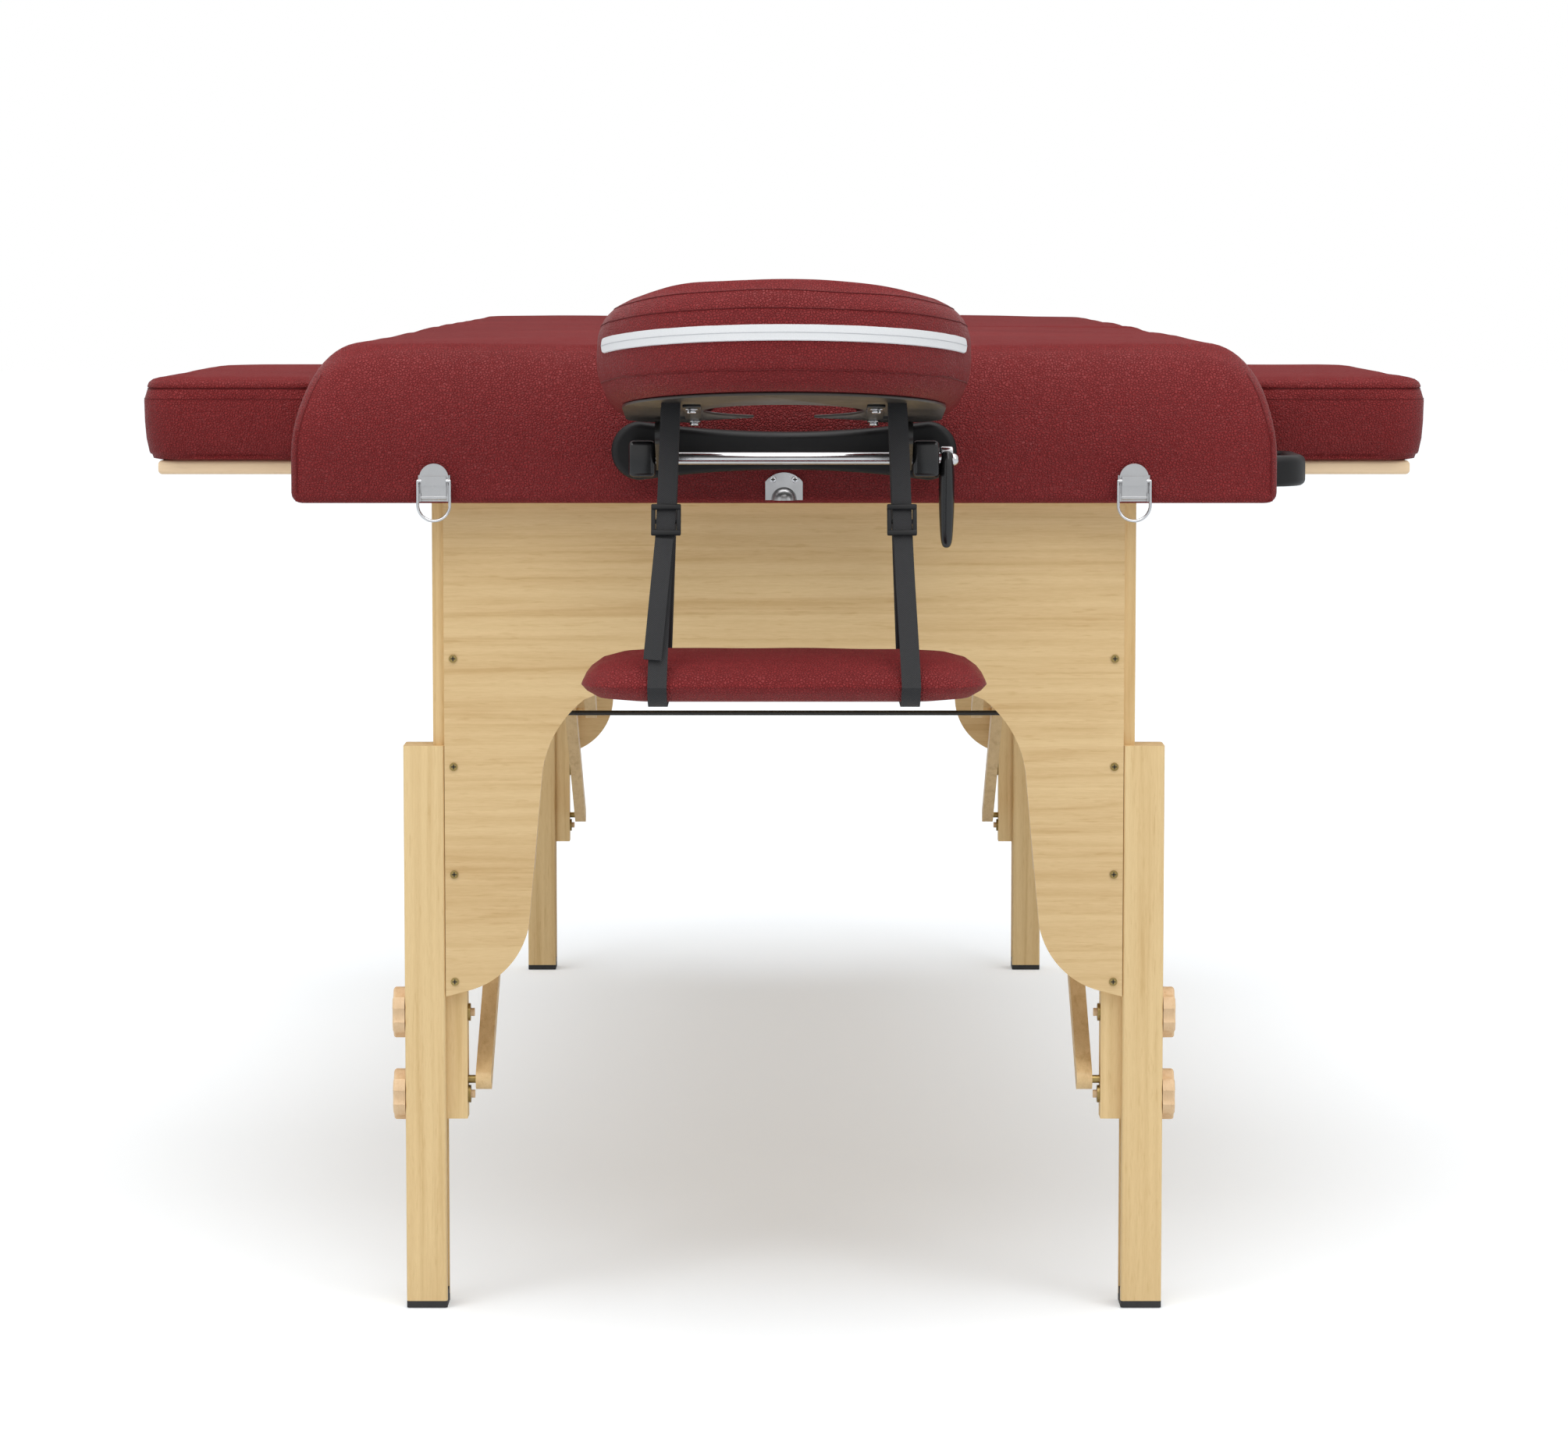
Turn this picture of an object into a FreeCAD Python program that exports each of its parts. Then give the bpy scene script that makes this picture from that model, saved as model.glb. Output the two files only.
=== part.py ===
import FreeCAD, Part
import math
import os
import re

V = FreeCAD.Vector
doc = FreeCAD.newDocument("massage_table")

# Driving dimensions in millimetres and degrees. Heights are measured from the floor.
driving = (
    # Top
    ("table_length", 1854),
    ("table_width", 711),
    ("table_top", 710),
    ("frame_bottom", 597),
    ("rail_depth", 46),
    ("rail_thick", 20),
    ("deck_thick", 4),
    ("skin_thick", 2),
    ("fold_gap", 0.5),
    ("cushion_wall", 6),
    ("shoulder_width", 42),
    ("shoulder_drop", 7),
    ("shoulder_bulge", 13),
    ("side_draw", 2.5),
    ("fold_edge_round", 8),
    ("fold_edge_drop", 1),
    ("fold_edge_bulge", 2),
    # Centre fold hinge
    ("hinge_from_side", 120.5),
    ("hinge_width", 60),
    ("hinge_leaf", 20),
    ("leaf_thick", 1.5),
    ("fold_barrel_radius", 3),
    ("fold_pin_radius", 1.5),
    ("knuckle_gap", 0.3),
    ("bore_clearance", 0.1),
    # Leg hinge
    ("leg_hinge_spread", 150),
    ("leg_barrel_radius", 3.5),
    ("leg_hinge_rise", 4),
    ("leg_hinge_leaf", 28),
    ("leg_pin_radius", 1.6),
    # Leg set
    ("leg_front", 3),
    ("leg_depth", 33),
    ("leg_inner", 248.7),
    ("leg_width", 29.9),
    ("leg_top", 417),
    ("leg_edge_round", 2),
    ("groove_depth", 8.5),
    ("slot_bottom", 55.5),
    ("slot_top", 363.5),
    ("slot_width", 6.6),
    ("post_inner", 233.3),
    ("post_depth", 20),
    ("post_bottom", 140),
    ("slide_clearance", 0.15),
    ("foot_sole", 5),
    ("foot_plug", 5.6),
    # Arched end panel
    ("panel_thick", 7.5),
    ("panel_clearance", 0.3),
    ("arch_top", 482),
    ("arch_half", 146),
    ("arch_shoulder", 451),
    ("flank_half", 177.5),
    ("flank_height", 390),
    ("lobe_half", 187),
    ("lobe_height", 286),
    ("toe_half", 233),
    ("toe_height", 236),
    ("panel_bottom", 232),
    ("arch_corner_bulge", 7.6),
    ("lobe_bulge", 10.4),
    ("screw_inset", 6.7),
    ("screw_radius", 3),
    ("screw_head", 0.8),
    ("screw_high", 481),
    ("screw_low", 243),
    ("screw_count", 4),
    # Clamp knobs
    ("knob_radius", 18.75),
    ("knob_thick", 9),
    ("knob_round", 2),
    ("knob_lobes", 6),
    ("scallop_radius", 8),
    ("scallop_depth", 2.6),
    ("knob_low", 157),
    ("knob_high", 218),
    ("knob_gap", 0.3),
    ("stud_radius", 3),
    ("stud_tip", 3),
    ("nut_radius", 6.5),
    ("nut_thick", 2),
    # Folding struts
    ("strut_pivot_height", 168),
    ("strut_to_fold", 61),
    ("strut_fold_depth", 30),
    ("strut_depth", 15),
    ("lower_strut_inner", 216),
    ("upper_strut_inner", 195),
    ("strut_thick", 11.5),
    ("strut_pin_radius", 3),
    ("knee_gap", 0.3),
    ("tie_bar_radius", 2),
    ("tie_bar_reach", 200),
    ("bracket_thick", 2),
    ("bracket_half", 9),
    ("bracket_flange", 22),
    # Face cradle
    ("cradle_reach", 288),
    ("rod_spread", 101),
    ("rod_radius", 6),
    ("rod_height", 622),
    ("rod_depth", 75),
    ("crossbar_half", 124),
    ("crossbar_middle", 634.5),
    ("crossbar_end_half", 21),
    ("crossbar_waist_half", 13.5),
    ("crossbar_gap", 8),
    ("crossbar_thick", 22),
    ("crossbar_round", 5),
    ("block_width", 19),
    ("block_length", 27),
    ("block_half", 13),
    ("tilt_ahead", 17),
    ("tilt_height", 630),
    ("tie_rod_radius", 4.5),
    ("link_thick", 5),
    ("link_gap", 0.5),
    ("link_half", 8.5),
    ("link_reach", 38),
    ("link_rise", 19),
    ("link_pin_radius", 3),
    ("ear_thick", 4),
    ("ear_half", 8),
    ("ear_flange_width", 26),
    ("ear_flange_half", 14),
    ("platform_lean", 6.5),
    ("platform_under", 660),
    ("platform_thick", 5),
    ("platform_half", 112),
    ("platform_front", 272),
    ("platform_back", 46),
    ("platform_hole_half", 56),
    ("platform_hole_middle", 138),
    ("platform_tip_half", 21),
    ("face_cushion_half", 128),
    ("face_opening_half", 46),
    ("face_cushion_front", 293),
    ("face_cushion_back", 40),
    ("face_cushion_top", 735),
    ("face_top_round", 27),
    ("face_bottom_round", 19),
    ("lever_gap", 0.5),
    ("lever_seat", 6),
    ("lever_hub_radius", 9),
    ("lever_thick", 9),
    ("lever_length", 64),
    ("lever_tip_radius", 5),
    ("lever_ball_radius", 4.5),
    # Hanging arm shelf
    ("shelf_middle", 203),
    ("shelf_half_depth", 72),
    ("shelf_half_width", 138),
    ("shelf_bottom", 472),
    ("shelf_thick", 33),
    ("shelf_edge_rise", 13),
    ("shelf_edge_bulge", 4),
    ("shelf_top_bulge", 7),
    ("shelf_flat", 0.62),
    ("shelf_crown", 1.8),
    ("shelf_corner", 32),
    ("strap_spread", 84),
    ("strap_width", 13),
    ("strap_thick", 1.6),
    ("strap_clearance", 0.4),
    ("strap_top_radius", 3),
    ("buckle_width", 20),
    ("buckle_height", 22),
    ("buckle_thick", 5.4),
    ("buckle_drop", 80),
    # Side armrests
    ("armrest_start", 258),
    ("armrest_length", 480),
    ("armrest_width", 141),
    ("armrest_gap", 1.5),
    ("armrest_board_low", 605),
    ("armrest_board_thick", 11),
    ("armrest_board_inset", 12),
    ("armrest_board_round", 3.3),
    ("armrest_top", 690),
    ("armrest_wall", 52),
    ("armrest_corner", 26),
    ("dowel_radius", 5),
    ("dowel_depth", 58),
    ("dowel_inset", 90),
    # Carry handle
    ("handle_start", 118),
    ("handle_length", 130),
    ("handle_reach", 37),
    ("handle_bar", 13),
    ("handle_foot", 22),
    ("handle_shoulder", 32),
    ("handle_shoulder_bulge", 10),
    ("handle_corner", 10),
    ("handle_low", 602),
    ("handle_height", 23),
    ("handle_round", 5),
    # Closing latches and keepers
    ("latch_from_side", 102.5),
    ("latch_plate_width", 23),
    ("latch_plate_height", 19),
    ("latch_plate_thick", 1.5),
    ("latch_gap", 0.4),
    ("lever_body_width", 18),
    ("lever_body_thick", 3),
    ("lever_tab_radius", 10.5),
    ("lever_body_height", 14),
    ("latch_pivot_rise", 3),
    ("latch_pin_radius", 0.8),
    ("bail_pivot_rise", 15),
    ("bail_half", 12.7),
    ("lug_wall", 0.8),
    ("bail_wire_radius", 1.1),
    ("bail_drop", 30),
    ("keeper_half", 13.5),
    ("keeper_height", 20),
    ("keeper_thick", 1.6),
    ("keeper_dome_half", 9.5),
    ("keeper_dome_wall", 1.6),
    ("keeper_lift", 1),
    ("catch_half", 9),
    ("catch_height", 16),
    ("catch_lip", 2),
    ("catch_lip_rise", 9),
)

# Places worked out from the driving dimensions.
worked_out = (
    ("catch_proud", "latch_plate_thick + catch_lip"),
    ("overall_length", "cradle_reach + table_length + catch_proud"),
    ("y_head", "cradle_reach - overall_length / 2"),
    ("y_foot", "overall_length / 2 - catch_proud"),
    ("half_length", "table_length / 2 - fold_gap"),
    ("y_fold", "y_head + table_length / 2"),
    ("half_width", "table_width / 2"),
    ("latch_spread", "half_width - latch_from_side"),
    ("hinge_spread", "half_width - hinge_from_side"),
    ("rail_outer", "half_width - skin_thick"),
    ("rail_inner", "rail_outer - rail_thick"),
    ("end_rail_inner", "skin_thick + rail_thick"),
    ("rail_top", "frame_bottom + rail_depth"),
    ("deck_top", "rail_top + deck_thick"),
    ("fold_axis_height", "frame_bottom - fold_barrel_radius"),
    ("leg_axis", "end_rail_inner + leg_barrel_radius"),
    ("leg_axis_height", "frame_bottom + leg_hinge_rise"),
    ("leg_face", "leg_axis - leg_front"),
    ("panel_back", "leg_face + panel_thick"),
    ("post_middle", "panel_back + post_depth / 2"),
    ("post_top", "leg_axis_height - leg_hinge_rise"),
    ("groove_floor", "leg_inner + groove_depth"),
    ("post_outer", "groove_floor - slide_clearance"),
    ("leg_outer", "leg_inner + leg_width"),
    ("panel_half", "leg_inner - panel_clearance"),
    ("strut_reach", "half_length - rail_thick - strut_to_fold - leg_axis"),
    ("upper_pivot", "leg_axis + strut_reach"),
    ("upper_pivot_height", "leg_axis_height + strut_fold_depth"),
    ("strut_run", "upper_pivot - post_middle"),
    ("strut_rise", "upper_pivot_height - strut_pivot_height"),
    ("strut_span", "sqrt(strut_run ^ 2 + strut_rise ^ 2)"),
    ("strut_slope", "atan(strut_rise / strut_run)"),
    # Folded flat, the lower pivot lies this far from the upper one along and across the frame
    ("folded_run", "strut_reach - (leg_axis_height - strut_pivot_height)"),
    ("folded_rise", "strut_fold_depth - (post_middle - leg_axis)"),
    ("upper_strut",
     "(strut_span ^ 2 - folded_rise ^ 2 - folded_run ^ 2) / (2 * (strut_span - folded_run))"),
    ("lower_strut", "strut_span - upper_strut"),
    ("tilt_axis", "crossbar_gap + crossbar_thick + tilt_ahead"),
    ("link_slope", "atan(link_rise / link_reach)"),
    ("link_axis", "tilt_axis + link_reach"),
    ("link_axis_height", "tilt_height + link_rise"),
    ("block_inner", "rod_spread - block_width / 2"),
    ("link_inner", "block_inner - link_gap - link_thick"),
    ("ear_inner", "link_inner - link_gap - ear_thick"),
    ("platform_top", "platform_under + platform_thick"),
    ("strap_roof", "link_axis_height + (platform_under - link_axis_height) / cos(platform_lean * 1deg)"),
    ("strap_seat", "strap_roof + (shelf_middle - link_axis) * tan(platform_lean * 1deg)"),
    ("strap_axis_height", "strap_seat - strap_clearance - strap_thick - strap_top_radius"),
    ("armrest_inner", "half_width + armrest_gap"),
    ("armrest_board_top", "armrest_board_low + armrest_board_thick"),
    ("dowel_height", "armrest_board_low + armrest_board_thick / 2"),
    ("latch_pivot_height", "frame_bottom + latch_pivot_rise"),
    ("bail_pivot_height", "frame_bottom + bail_pivot_rise"),
    ("latch_lever_face", "latch_plate_thick + latch_gap + lever_body_thick"),
)

sizes = doc.addObject("Spreadsheet::Sheet", "Sizes")
places = doc.addObject("Spreadsheet::Sheet", "Places")
sheet_of = {}


def refer(formula, own=None):
    """A formula in plain names, with the sheet's name put before each of them."""
    def named(match):
        word = match.group()
        holder = sheet_of.get(word)
        return word if holder in (None, own) else holder.Name + "." + word
    return re.sub(r"[a-z][a-z_0-9]*", named, str(formula))


def fill(sheet, rows, formula_mark=""):
    for row, (alias, content) in enumerate(rows, 1):
        text = refer(content, sheet) if formula_mark else str(content)
        sheet.set(f"A{row}", alias)
        sheet.set(f"B{row}", formula_mark + text)
        sheet.setAlias(f"B{row}", alias)
        sheet_of[alias] = sheet


fill(sizes, driving)
doc.recompute()
fill(places, worked_out, "=")
doc.recompute()


def size(alias):
    """The present number of a named size or place."""
    content = sheet_of[alias].get(alias)
    return float(getattr(content, "Value", content))


def bind(obj, prop, formula):
    obj.setExpression(prop, refer(formula))


def place(obj, at):
    for axis, formula in zip("xyz", at):
        bind(obj, f"Placement.Base.{axis}", formula)
    return obj


def box(name, extent, corner):
    obj = doc.addObject("Part::Box", name)
    for prop, formula in zip(("Length", "Width", "Height"), extent):
        bind(obj, prop, formula)
    return place(obj, corner)


turns = {
    "x": FreeCAD.Rotation(V(0, 1, 0), 90),
    "y": FreeCAD.Rotation(V(1, 0, 0), -90),
    "z": FreeCAD.Rotation(),
}


def rod(name, radius, length, start, along):
    """A round bar from its start point in the positive direction of an axis."""
    obj = doc.addObject("Part::Cylinder", name)
    bind(obj, "Radius", radius)
    bind(obj, "Height", length)
    obj.Placement.Rotation = turns[along]
    return place(obj, start)


def fuse(name, *shapes):
    obj = doc.addObject("Part::MultiFuse", name)
    obj.Shapes = list(shapes)
    return obj


def group(name, *shapes):
    obj = doc.addObject("Part::Compound", name)
    obj.Links = list(shapes)
    return obj


def cut(name, base, *tools):
    obj = doc.addObject("Part::Cut", name)
    obj.Base = base
    obj.Tool = tools[0] if len(tools) == 1 else fuse(name + "_tool", *tools)
    return obj


def common(name, *shapes):
    obj = doc.addObject("Part::MultiCommon", name)
    obj.Shapes = list(shapes)
    return obj


def rounded(name, base, radius, chosen):
    """Fillet of the edges whose middle point is chosen."""
    doc.recompute()
    obj = doc.addObject("Part::Fillet", name)
    obj.Base = base
    picked = []
    for index, edge in enumerate(base.Shape.Edges, 1):
        middle = edge.valueAt((edge.FirstParameter + edge.LastParameter) / 2)
        if chosen(edge, middle):
            picked.append((index, radius, radius))
    obj.Edges = picked
    return obj


def upright(edge, middle):
    ends = [vertex.Point for vertex in edge.Vertexes]
    return len(ends) == 2 and abs(ends[0].z - ends[1].z) > edge.Length * 0.99


def outline(start, *steps):
    """Lines and arcs from point to point. A step of two points is an arc through the first."""
    here = V(*start, 0)
    curves = []
    for step in steps:
        if isinstance(step[0], tuple):
            there = V(*step[1], 0)
            curves.append(Part.Arc(here, V(*step[0], 0), there))
        else:
            there = V(*step, 0)
            curves.append(Part.LineSegment(here, there))
        here = there
    return curves


def bulged(start, end, height):
    """An arc step from start to end that stands height to the left of the straight line."""
    run = end[0] - start[0]
    rise = end[1] - start[1]
    lean = height / math.hypot(run, rise)
    middle = ((start[0] + end[0]) / 2 - rise * lean, (start[1] + end[1]) / 2 + run * lean)
    return (middle, end)


def quarter_round(start, end):
    """An arc step of a quarter circle that stands to the right of the straight line."""
    chord = math.dist(start, end)
    return bulged(start, end, -chord * (math.sqrt(2) - 1) / 2)


def pad(name, plane, profiles, length, at=("0", "0", "0"), midplane=False, reverse=False):
    """A body padded from a sketch of one outer profile and any openings in it."""
    body = doc.addObject("PartDesign::Body", name)
    sketch = body.newObject("Sketcher::SketchObject", name + "_sketch")
    sketch.AttachmentSupport = [(next(f for f in body.Origin.OriginFeatures if f.Role == plane), "")]
    sketch.MapMode = "FlatFace"
    for profile in profiles:
        sketch.addGeometry(profile, False)
    feature = body.newObject("PartDesign::Pad", name + "_pad")
    feature.Profile = sketch
    bind(feature, "Length", length)
    feature.Midplane = midplane
    feature.Reversed = reverse
    return place(body, at)


def fillet_body(body, radius, chosen):
    """Rounds the chosen edges of a body's last feature."""
    doc.recompute()
    base = body.Tip
    names = []
    for index, edge in enumerate(base.Shape.Edges, 1):
        middle = edge.valueAt((edge.FirstParameter + edge.LastParameter) / 2)
        if chosen(edge, middle):
            names.append(f"Edge{index}")
    feature = body.newObject("PartDesign::Fillet", body.Name + "_fillet")
    feature.Base = (base, names)
    bind(feature, "Radius", radius)
    return body


parts = []


def finish(obj, label):
    obj.Label = label
    parts.append(obj)


def inward(end, offset, length="0"):
    """The lower Y of a piece that starts at an offset from an end of the table and runs inward."""
    if end == "head":
        return f"y_head + ({offset})"
    return f"y_foot - ({offset}) - ({length})"


def outboard(side, inner, width="0"):
    """The lower X of a piece that starts at an offset from the middle on one side."""
    return f"{inner}" if side == "right" else f"-({inner}) - ({width})"


sides = ("left", "right")
ends = ("head", "foot")


# Top: rails, deck, upholstery
def build_rails(end):
    side_rails = []
    for side in sides:
        rail = box(
            f"{end}_{side}_rail",
            ("rail_thick", "half_length - skin_thick", "rail_depth"),
            (outboard(side, "rail_inner", "rail_thick"),
             inward(end, "skin_thick", "half_length - skin_thick"),
             "frame_bottom"),
        )
        if end == "head":
            rail = cut(f"{end}_{side}_drilled_rail", rail,
                       *dowel_rods(side, "dowel_radius + bore_clearance"))
        side_rails.append(rail)
    cross = ("2 * rail_inner", "rail_thick", "rail_depth")
    end_rail = box(
        f"{end}_end_rail", cross,
        ("-rail_inner", inward(end, "skin_thick", "rail_thick"), "frame_bottom"),
    )
    if end == "head":
        end_rail = cut("head_drilled_end_rail", end_rail, *cradle_rods("rod_radius + bore_clearance"))
    fold_rail = box(
        f"{end}_fold_rail", cross,
        ("-rail_inner", inward(end, "half_length - rail_thick", "rail_thick"), "frame_bottom"),
    )
    finish(group(f"{end}_rail_set", end_rail, fold_rail, *side_rails), f"{end}_rails")


def build_deck(end):
    length = "half_length - skin_thick"
    deck = box(
        f"{end}_board", ("2 * rail_outer", length, "deck_thick"),
        ("-rail_outer", inward(end, "skin_thick", length), "rail_top"),
    )
    finish(deck, f"{end}_deck")


def build_skirt(end):
    height = "deck_top - frame_bottom"
    outer = box(
        f"{end}_skirt_outer", ("table_width", "half_length", height),
        ("-half_width", inward(end, "0", "half_length"), "frame_bottom"),
    )
    inner = box(
        f"{end}_skirt_inner", ("2 * rail_outer", "table_length", height),
        ("-rail_outer", inward(end, "skin_thick", "table_length"), "frame_bottom"),
    )
    openings = [inner]
    if end == "head":
        openings += cradle_rods("rod_radius + bore_clearance")
        for side in sides:
            openings += dowel_rods(side, "dowel_radius + bore_clearance")
    finish(cut(f"{end}_skirt_wrap", outer, *openings), f"{end}_skirt")


def build_cushion(end):
    """The padded half: crowned across and along, sides drawn in, rounded over at the end."""
    half = size("half_width")
    base = size("deck_top")
    top = size("table_top")
    wall = base + size("cushion_wall")
    shoulder = size("shoulder_width")
    rim = top - size("shoulder_drop")
    bulge = size("shoulder_bulge")
    draw = size("side_draw")
    length = size("half_length")
    fold_round = size("fold_edge_round")
    left_rise = bulged((-half, wall), (shoulder - half, rim), bulge)
    right_fall = bulged((half - shoulder, rim), (half, wall), bulge)
    across = outline(
        (-half, base), (-half, wall), left_rise, ((0, top), (half - shoulder, rim)), right_fall,
        (half, base), (-half, base),
    )
    end_rise = bulged((0, wall), (shoulder, rim), bulge)
    fold_edge = (length - fold_round, top - size("fold_edge_drop"))
    crown = bulged((shoulder, rim), fold_edge, size("shoulder_drop") / 2)
    fold_turn = bulged(fold_edge, (length, top - fold_round), size("fold_edge_bulge"))
    along = outline((0, base), (0, wall), end_rise, crown, fold_turn, (length, base), (0, base))
    plan = outline(
        (-half, 0), ((0, draw), (half, 0)), ((half - draw, length / 2), (half, length)), (-half, length),
        ((draw - half, length / 2), (-half, 0)),
    )
    across_pad = pad(f"{end}_cushion_across", "XZ_Plane", [across], "table_length", midplane=True)
    along_pad = pad(f"{end}_cushion_along", "YZ_Plane", [along], "table_width", midplane=True)
    plan_pad = pad(f"{end}_cushion_plan", "XY_Plane", [plan], "table_top")
    blank = common(f"{end}_cushion_blank", across_pad, along_pad, plan_pad)
    turn = 0 if end == "head" else 180
    blank.Placement.Rotation = FreeCAD.Rotation(V(0, 0, 1), turn)
    place(blank, ("0", f"y_{end}", "0"))
    finish(blank, f"{end}_cushion")


# Steel fittings of the two halves
third = "hinge_width / 3"
hinge_places = ("-hinge_spread", "0", "hinge_spread")
leg_hinge_places = ("-leg_hinge_spread", "0", "leg_hinge_spread")


def fold_leaf(end, index, middle):
    """A leaf screwed under the fold rail with one knuckle on the fold axis."""
    name = f"{end}_fold_leaf_{index}"
    clear = "fold_barrel_radius + knuckle_gap"
    plate = box(
        name + "_plate", ("hinge_width", f"hinge_leaf - ({clear})", "leaf_thick"),
        (f"{middle} - hinge_width / 2",
         inward(end, "table_length / 2 - hinge_leaf", f"hinge_leaf - ({clear})"),
         "frame_bottom - leaf_thick"),
    )
    shift = "-hinge_width / 2" if end == "head" else "hinge_width / 6 + knuckle_gap"
    length = f"{third} - knuckle_gap"
    start = f"{middle} + {shift}"
    tongue = box(
        name + "_tongue", (length, clear, "leaf_thick"),
        (start, inward(end, f"table_length / 2 - ({clear})", clear), "frame_bottom - leaf_thick"),
    )
    barrel = rod(name + "_barrel", "fold_barrel_radius", length, (start, "y_fold", "fold_axis_height"), "x")
    bore = rod(
        name + "_bore", "fold_pin_radius + bore_clearance", length,
        (start, "y_fold", "fold_axis_height"), "x"
    )
    return cut(name, fuse(name + "_solid", plate, tongue, barrel), bore)


def leg_hinge_frame_leaf(end, index, middle):
    """The frame side of a leg hinge: plate on the end rail, two knuckles and the pin."""
    name = f"{end}_leg_frame_leaf_{index}"
    clear = "leg_barrel_radius + knuckle_gap"
    plate = box(
        name + "_plate", ("hinge_width", "leaf_thick", f"leg_hinge_leaf - ({clear})"),
        (f"{middle} - hinge_width / 2", inward(end, "end_rail_inner", "leaf_thick"),
         f"leg_axis_height + {clear}"),
    )
    pieces = [plate]
    length = f"{third} - knuckle_gap"
    axis_y = inward(end, "leg_axis")
    for start in (f"{middle} - hinge_width / 2", f"{middle} + hinge_width / 6 + knuckle_gap"):
        spot = f"{name}_{len(pieces)}"
        pieces.append(box(
            spot + "_tongue", (length, "leaf_thick", clear),
            (start, inward(end, "end_rail_inner", "leaf_thick"), "leg_axis_height"),
        ))
        pieces.append(rod(spot + "_barrel", "leg_barrel_radius", length,
                          (start, axis_y, "leg_axis_height"), "x"))
    pieces.append(rod(
        name + "_pin", "leg_pin_radius", "hinge_width",
        (f"{middle} - hinge_width / 2", axis_y, "leg_axis_height"), "x",
    ))
    return fuse(name, *pieces)


def strut_bracket(end, side):
    """Angle bracket on the fold rail with the pin that carries the upper strut."""
    name = f"{end}_{side}_strut_bracket"
    plate_inner = "upper_strut_inner + strut_thick + knee_gap"
    reach = "half_length - rail_thick - upper_pivot + bracket_half"
    plate = box(
        name + "_plate", ("bracket_thick", reach, "2 * bracket_half"),
        (outboard(side, plate_inner, "bracket_thick"), inward(end, "upper_pivot - bracket_half", reach),
         "upper_pivot_height - bracket_half"),
    )
    flange = box(
        name + "_flange", ("bracket_flange", "bracket_thick", "2 * bracket_half"),
        (outboard(side, plate_inner, "bracket_flange"),
         inward(end, "half_length - rail_thick - bracket_thick", "bracket_thick"),
         "upper_pivot_height - bracket_half"),
    )
    pin_length = "strut_thick + knee_gap + bracket_thick"
    pin = rod(
        name + "_pin", "strut_pin_radius", pin_length,
        (outboard(side, "upper_strut_inner", pin_length), inward(end, "upper_pivot"),
         "upper_pivot_height"), "x",
    )
    return fuse(name, plate, flange, pin)


def latch_base(side):
    """Plate on the end face with the pin of the latch lever."""
    name = f"{side}_latch_base"
    plate = box(
        name + "_plate", ("latch_plate_width", "latch_plate_thick", "latch_plate_height"),
        (outboard(side, "latch_spread - latch_plate_width / 2", "latch_plate_width"),
         "y_head - latch_plate_thick", "frame_bottom"),
    )
    ear_thick = "(latch_plate_width - lever_body_width) / 2 - latch_gap"
    ear_depth = "latch_gap + lever_body_thick"
    pieces = [plate]
    for shift in ("-latch_plate_width / 2", f"latch_plate_width / 2 - ({ear_thick})"):
        pieces.append(box(
            f"{name}_ear_{len(pieces)}", (ear_thick, ear_depth, "2 * latch_pivot_rise"),
            (outboard(side, f"latch_spread + {shift}", ear_thick), "y_head - latch_lever_face",
             "frame_bottom"),
        ))
    pieces.append(rod(
        name + "_pin", "latch_pin_radius", "latch_plate_width",
        (outboard(side, "latch_spread - latch_plate_width / 2", "latch_plate_width"),
         "y_head - latch_lever_face + lever_body_thick / 2", "latch_pivot_height"), "x",
    ))
    return fuse(name, *pieces)


def keeper_plate():
    """Round-topped plate in the middle of the head end with a dome pressed out of it, open below."""
    half = size("keeper_half")
    height = size("keeper_height")
    shoulder = height - half / 2
    face = outline(
        (-half, 0), (half, 0), (half, shoulder),
        bulged((half, shoulder), (-half, shoulder), -half / 2), (-half, 0)
    )
    at = ("0", "y_head", "frame_bottom + keeper_lift")
    plate = pad("keeper_face", "XZ_Plane", [face], "keeper_thick", at)
    shell = []
    for part, radius in (("outer", "keeper_dome_half"), ("inner", "keeper_dome_half - keeper_dome_wall")):
        ball = doc.addObject("Part::Sphere", f"keeper_dome_{part}")
        bind(ball, "Radius", radius)
        shell.append(place(ball, at))
    front = box(
        "keeper_front", ("2 * keeper_dome_half", "keeper_dome_half", "keeper_dome_half"),
        ("-keeper_dome_half", "y_head - keeper_dome_half", "frame_bottom + keeper_lift"),
    )
    dome = common("keeper_dome", cut("keeper_dome_shell", *shell), front)
    hollow = rod(
        "keeper_hollow", "keeper_dome_half - keeper_dome_wall", "keeper_thick",
        ("0", "y_head - keeper_thick", "frame_bottom + keeper_lift"), "y",
    )
    return fuse("keeper", cut("keeper_holed", plate, hollow), dome)


def catch_plate(side):
    """Low hook plate on the foot end that the bail pulls on when the table is folded."""
    name = f"{side}_catch"
    x = outboard(side, "latch_spread - catch_half", "2 * catch_half")
    plate = box(
        name + "_plate", ("2 * catch_half", "latch_plate_thick", "catch_height"),
        (x, "y_foot", "frame_bottom")
    )
    lip = box(
        name + "_lip", ("2 * catch_half", "catch_proud", "latch_plate_thick"),
        (x, "y_foot", "frame_bottom + catch_lip_rise"),
    )
    return fuse(name, plate, lip)


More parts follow.
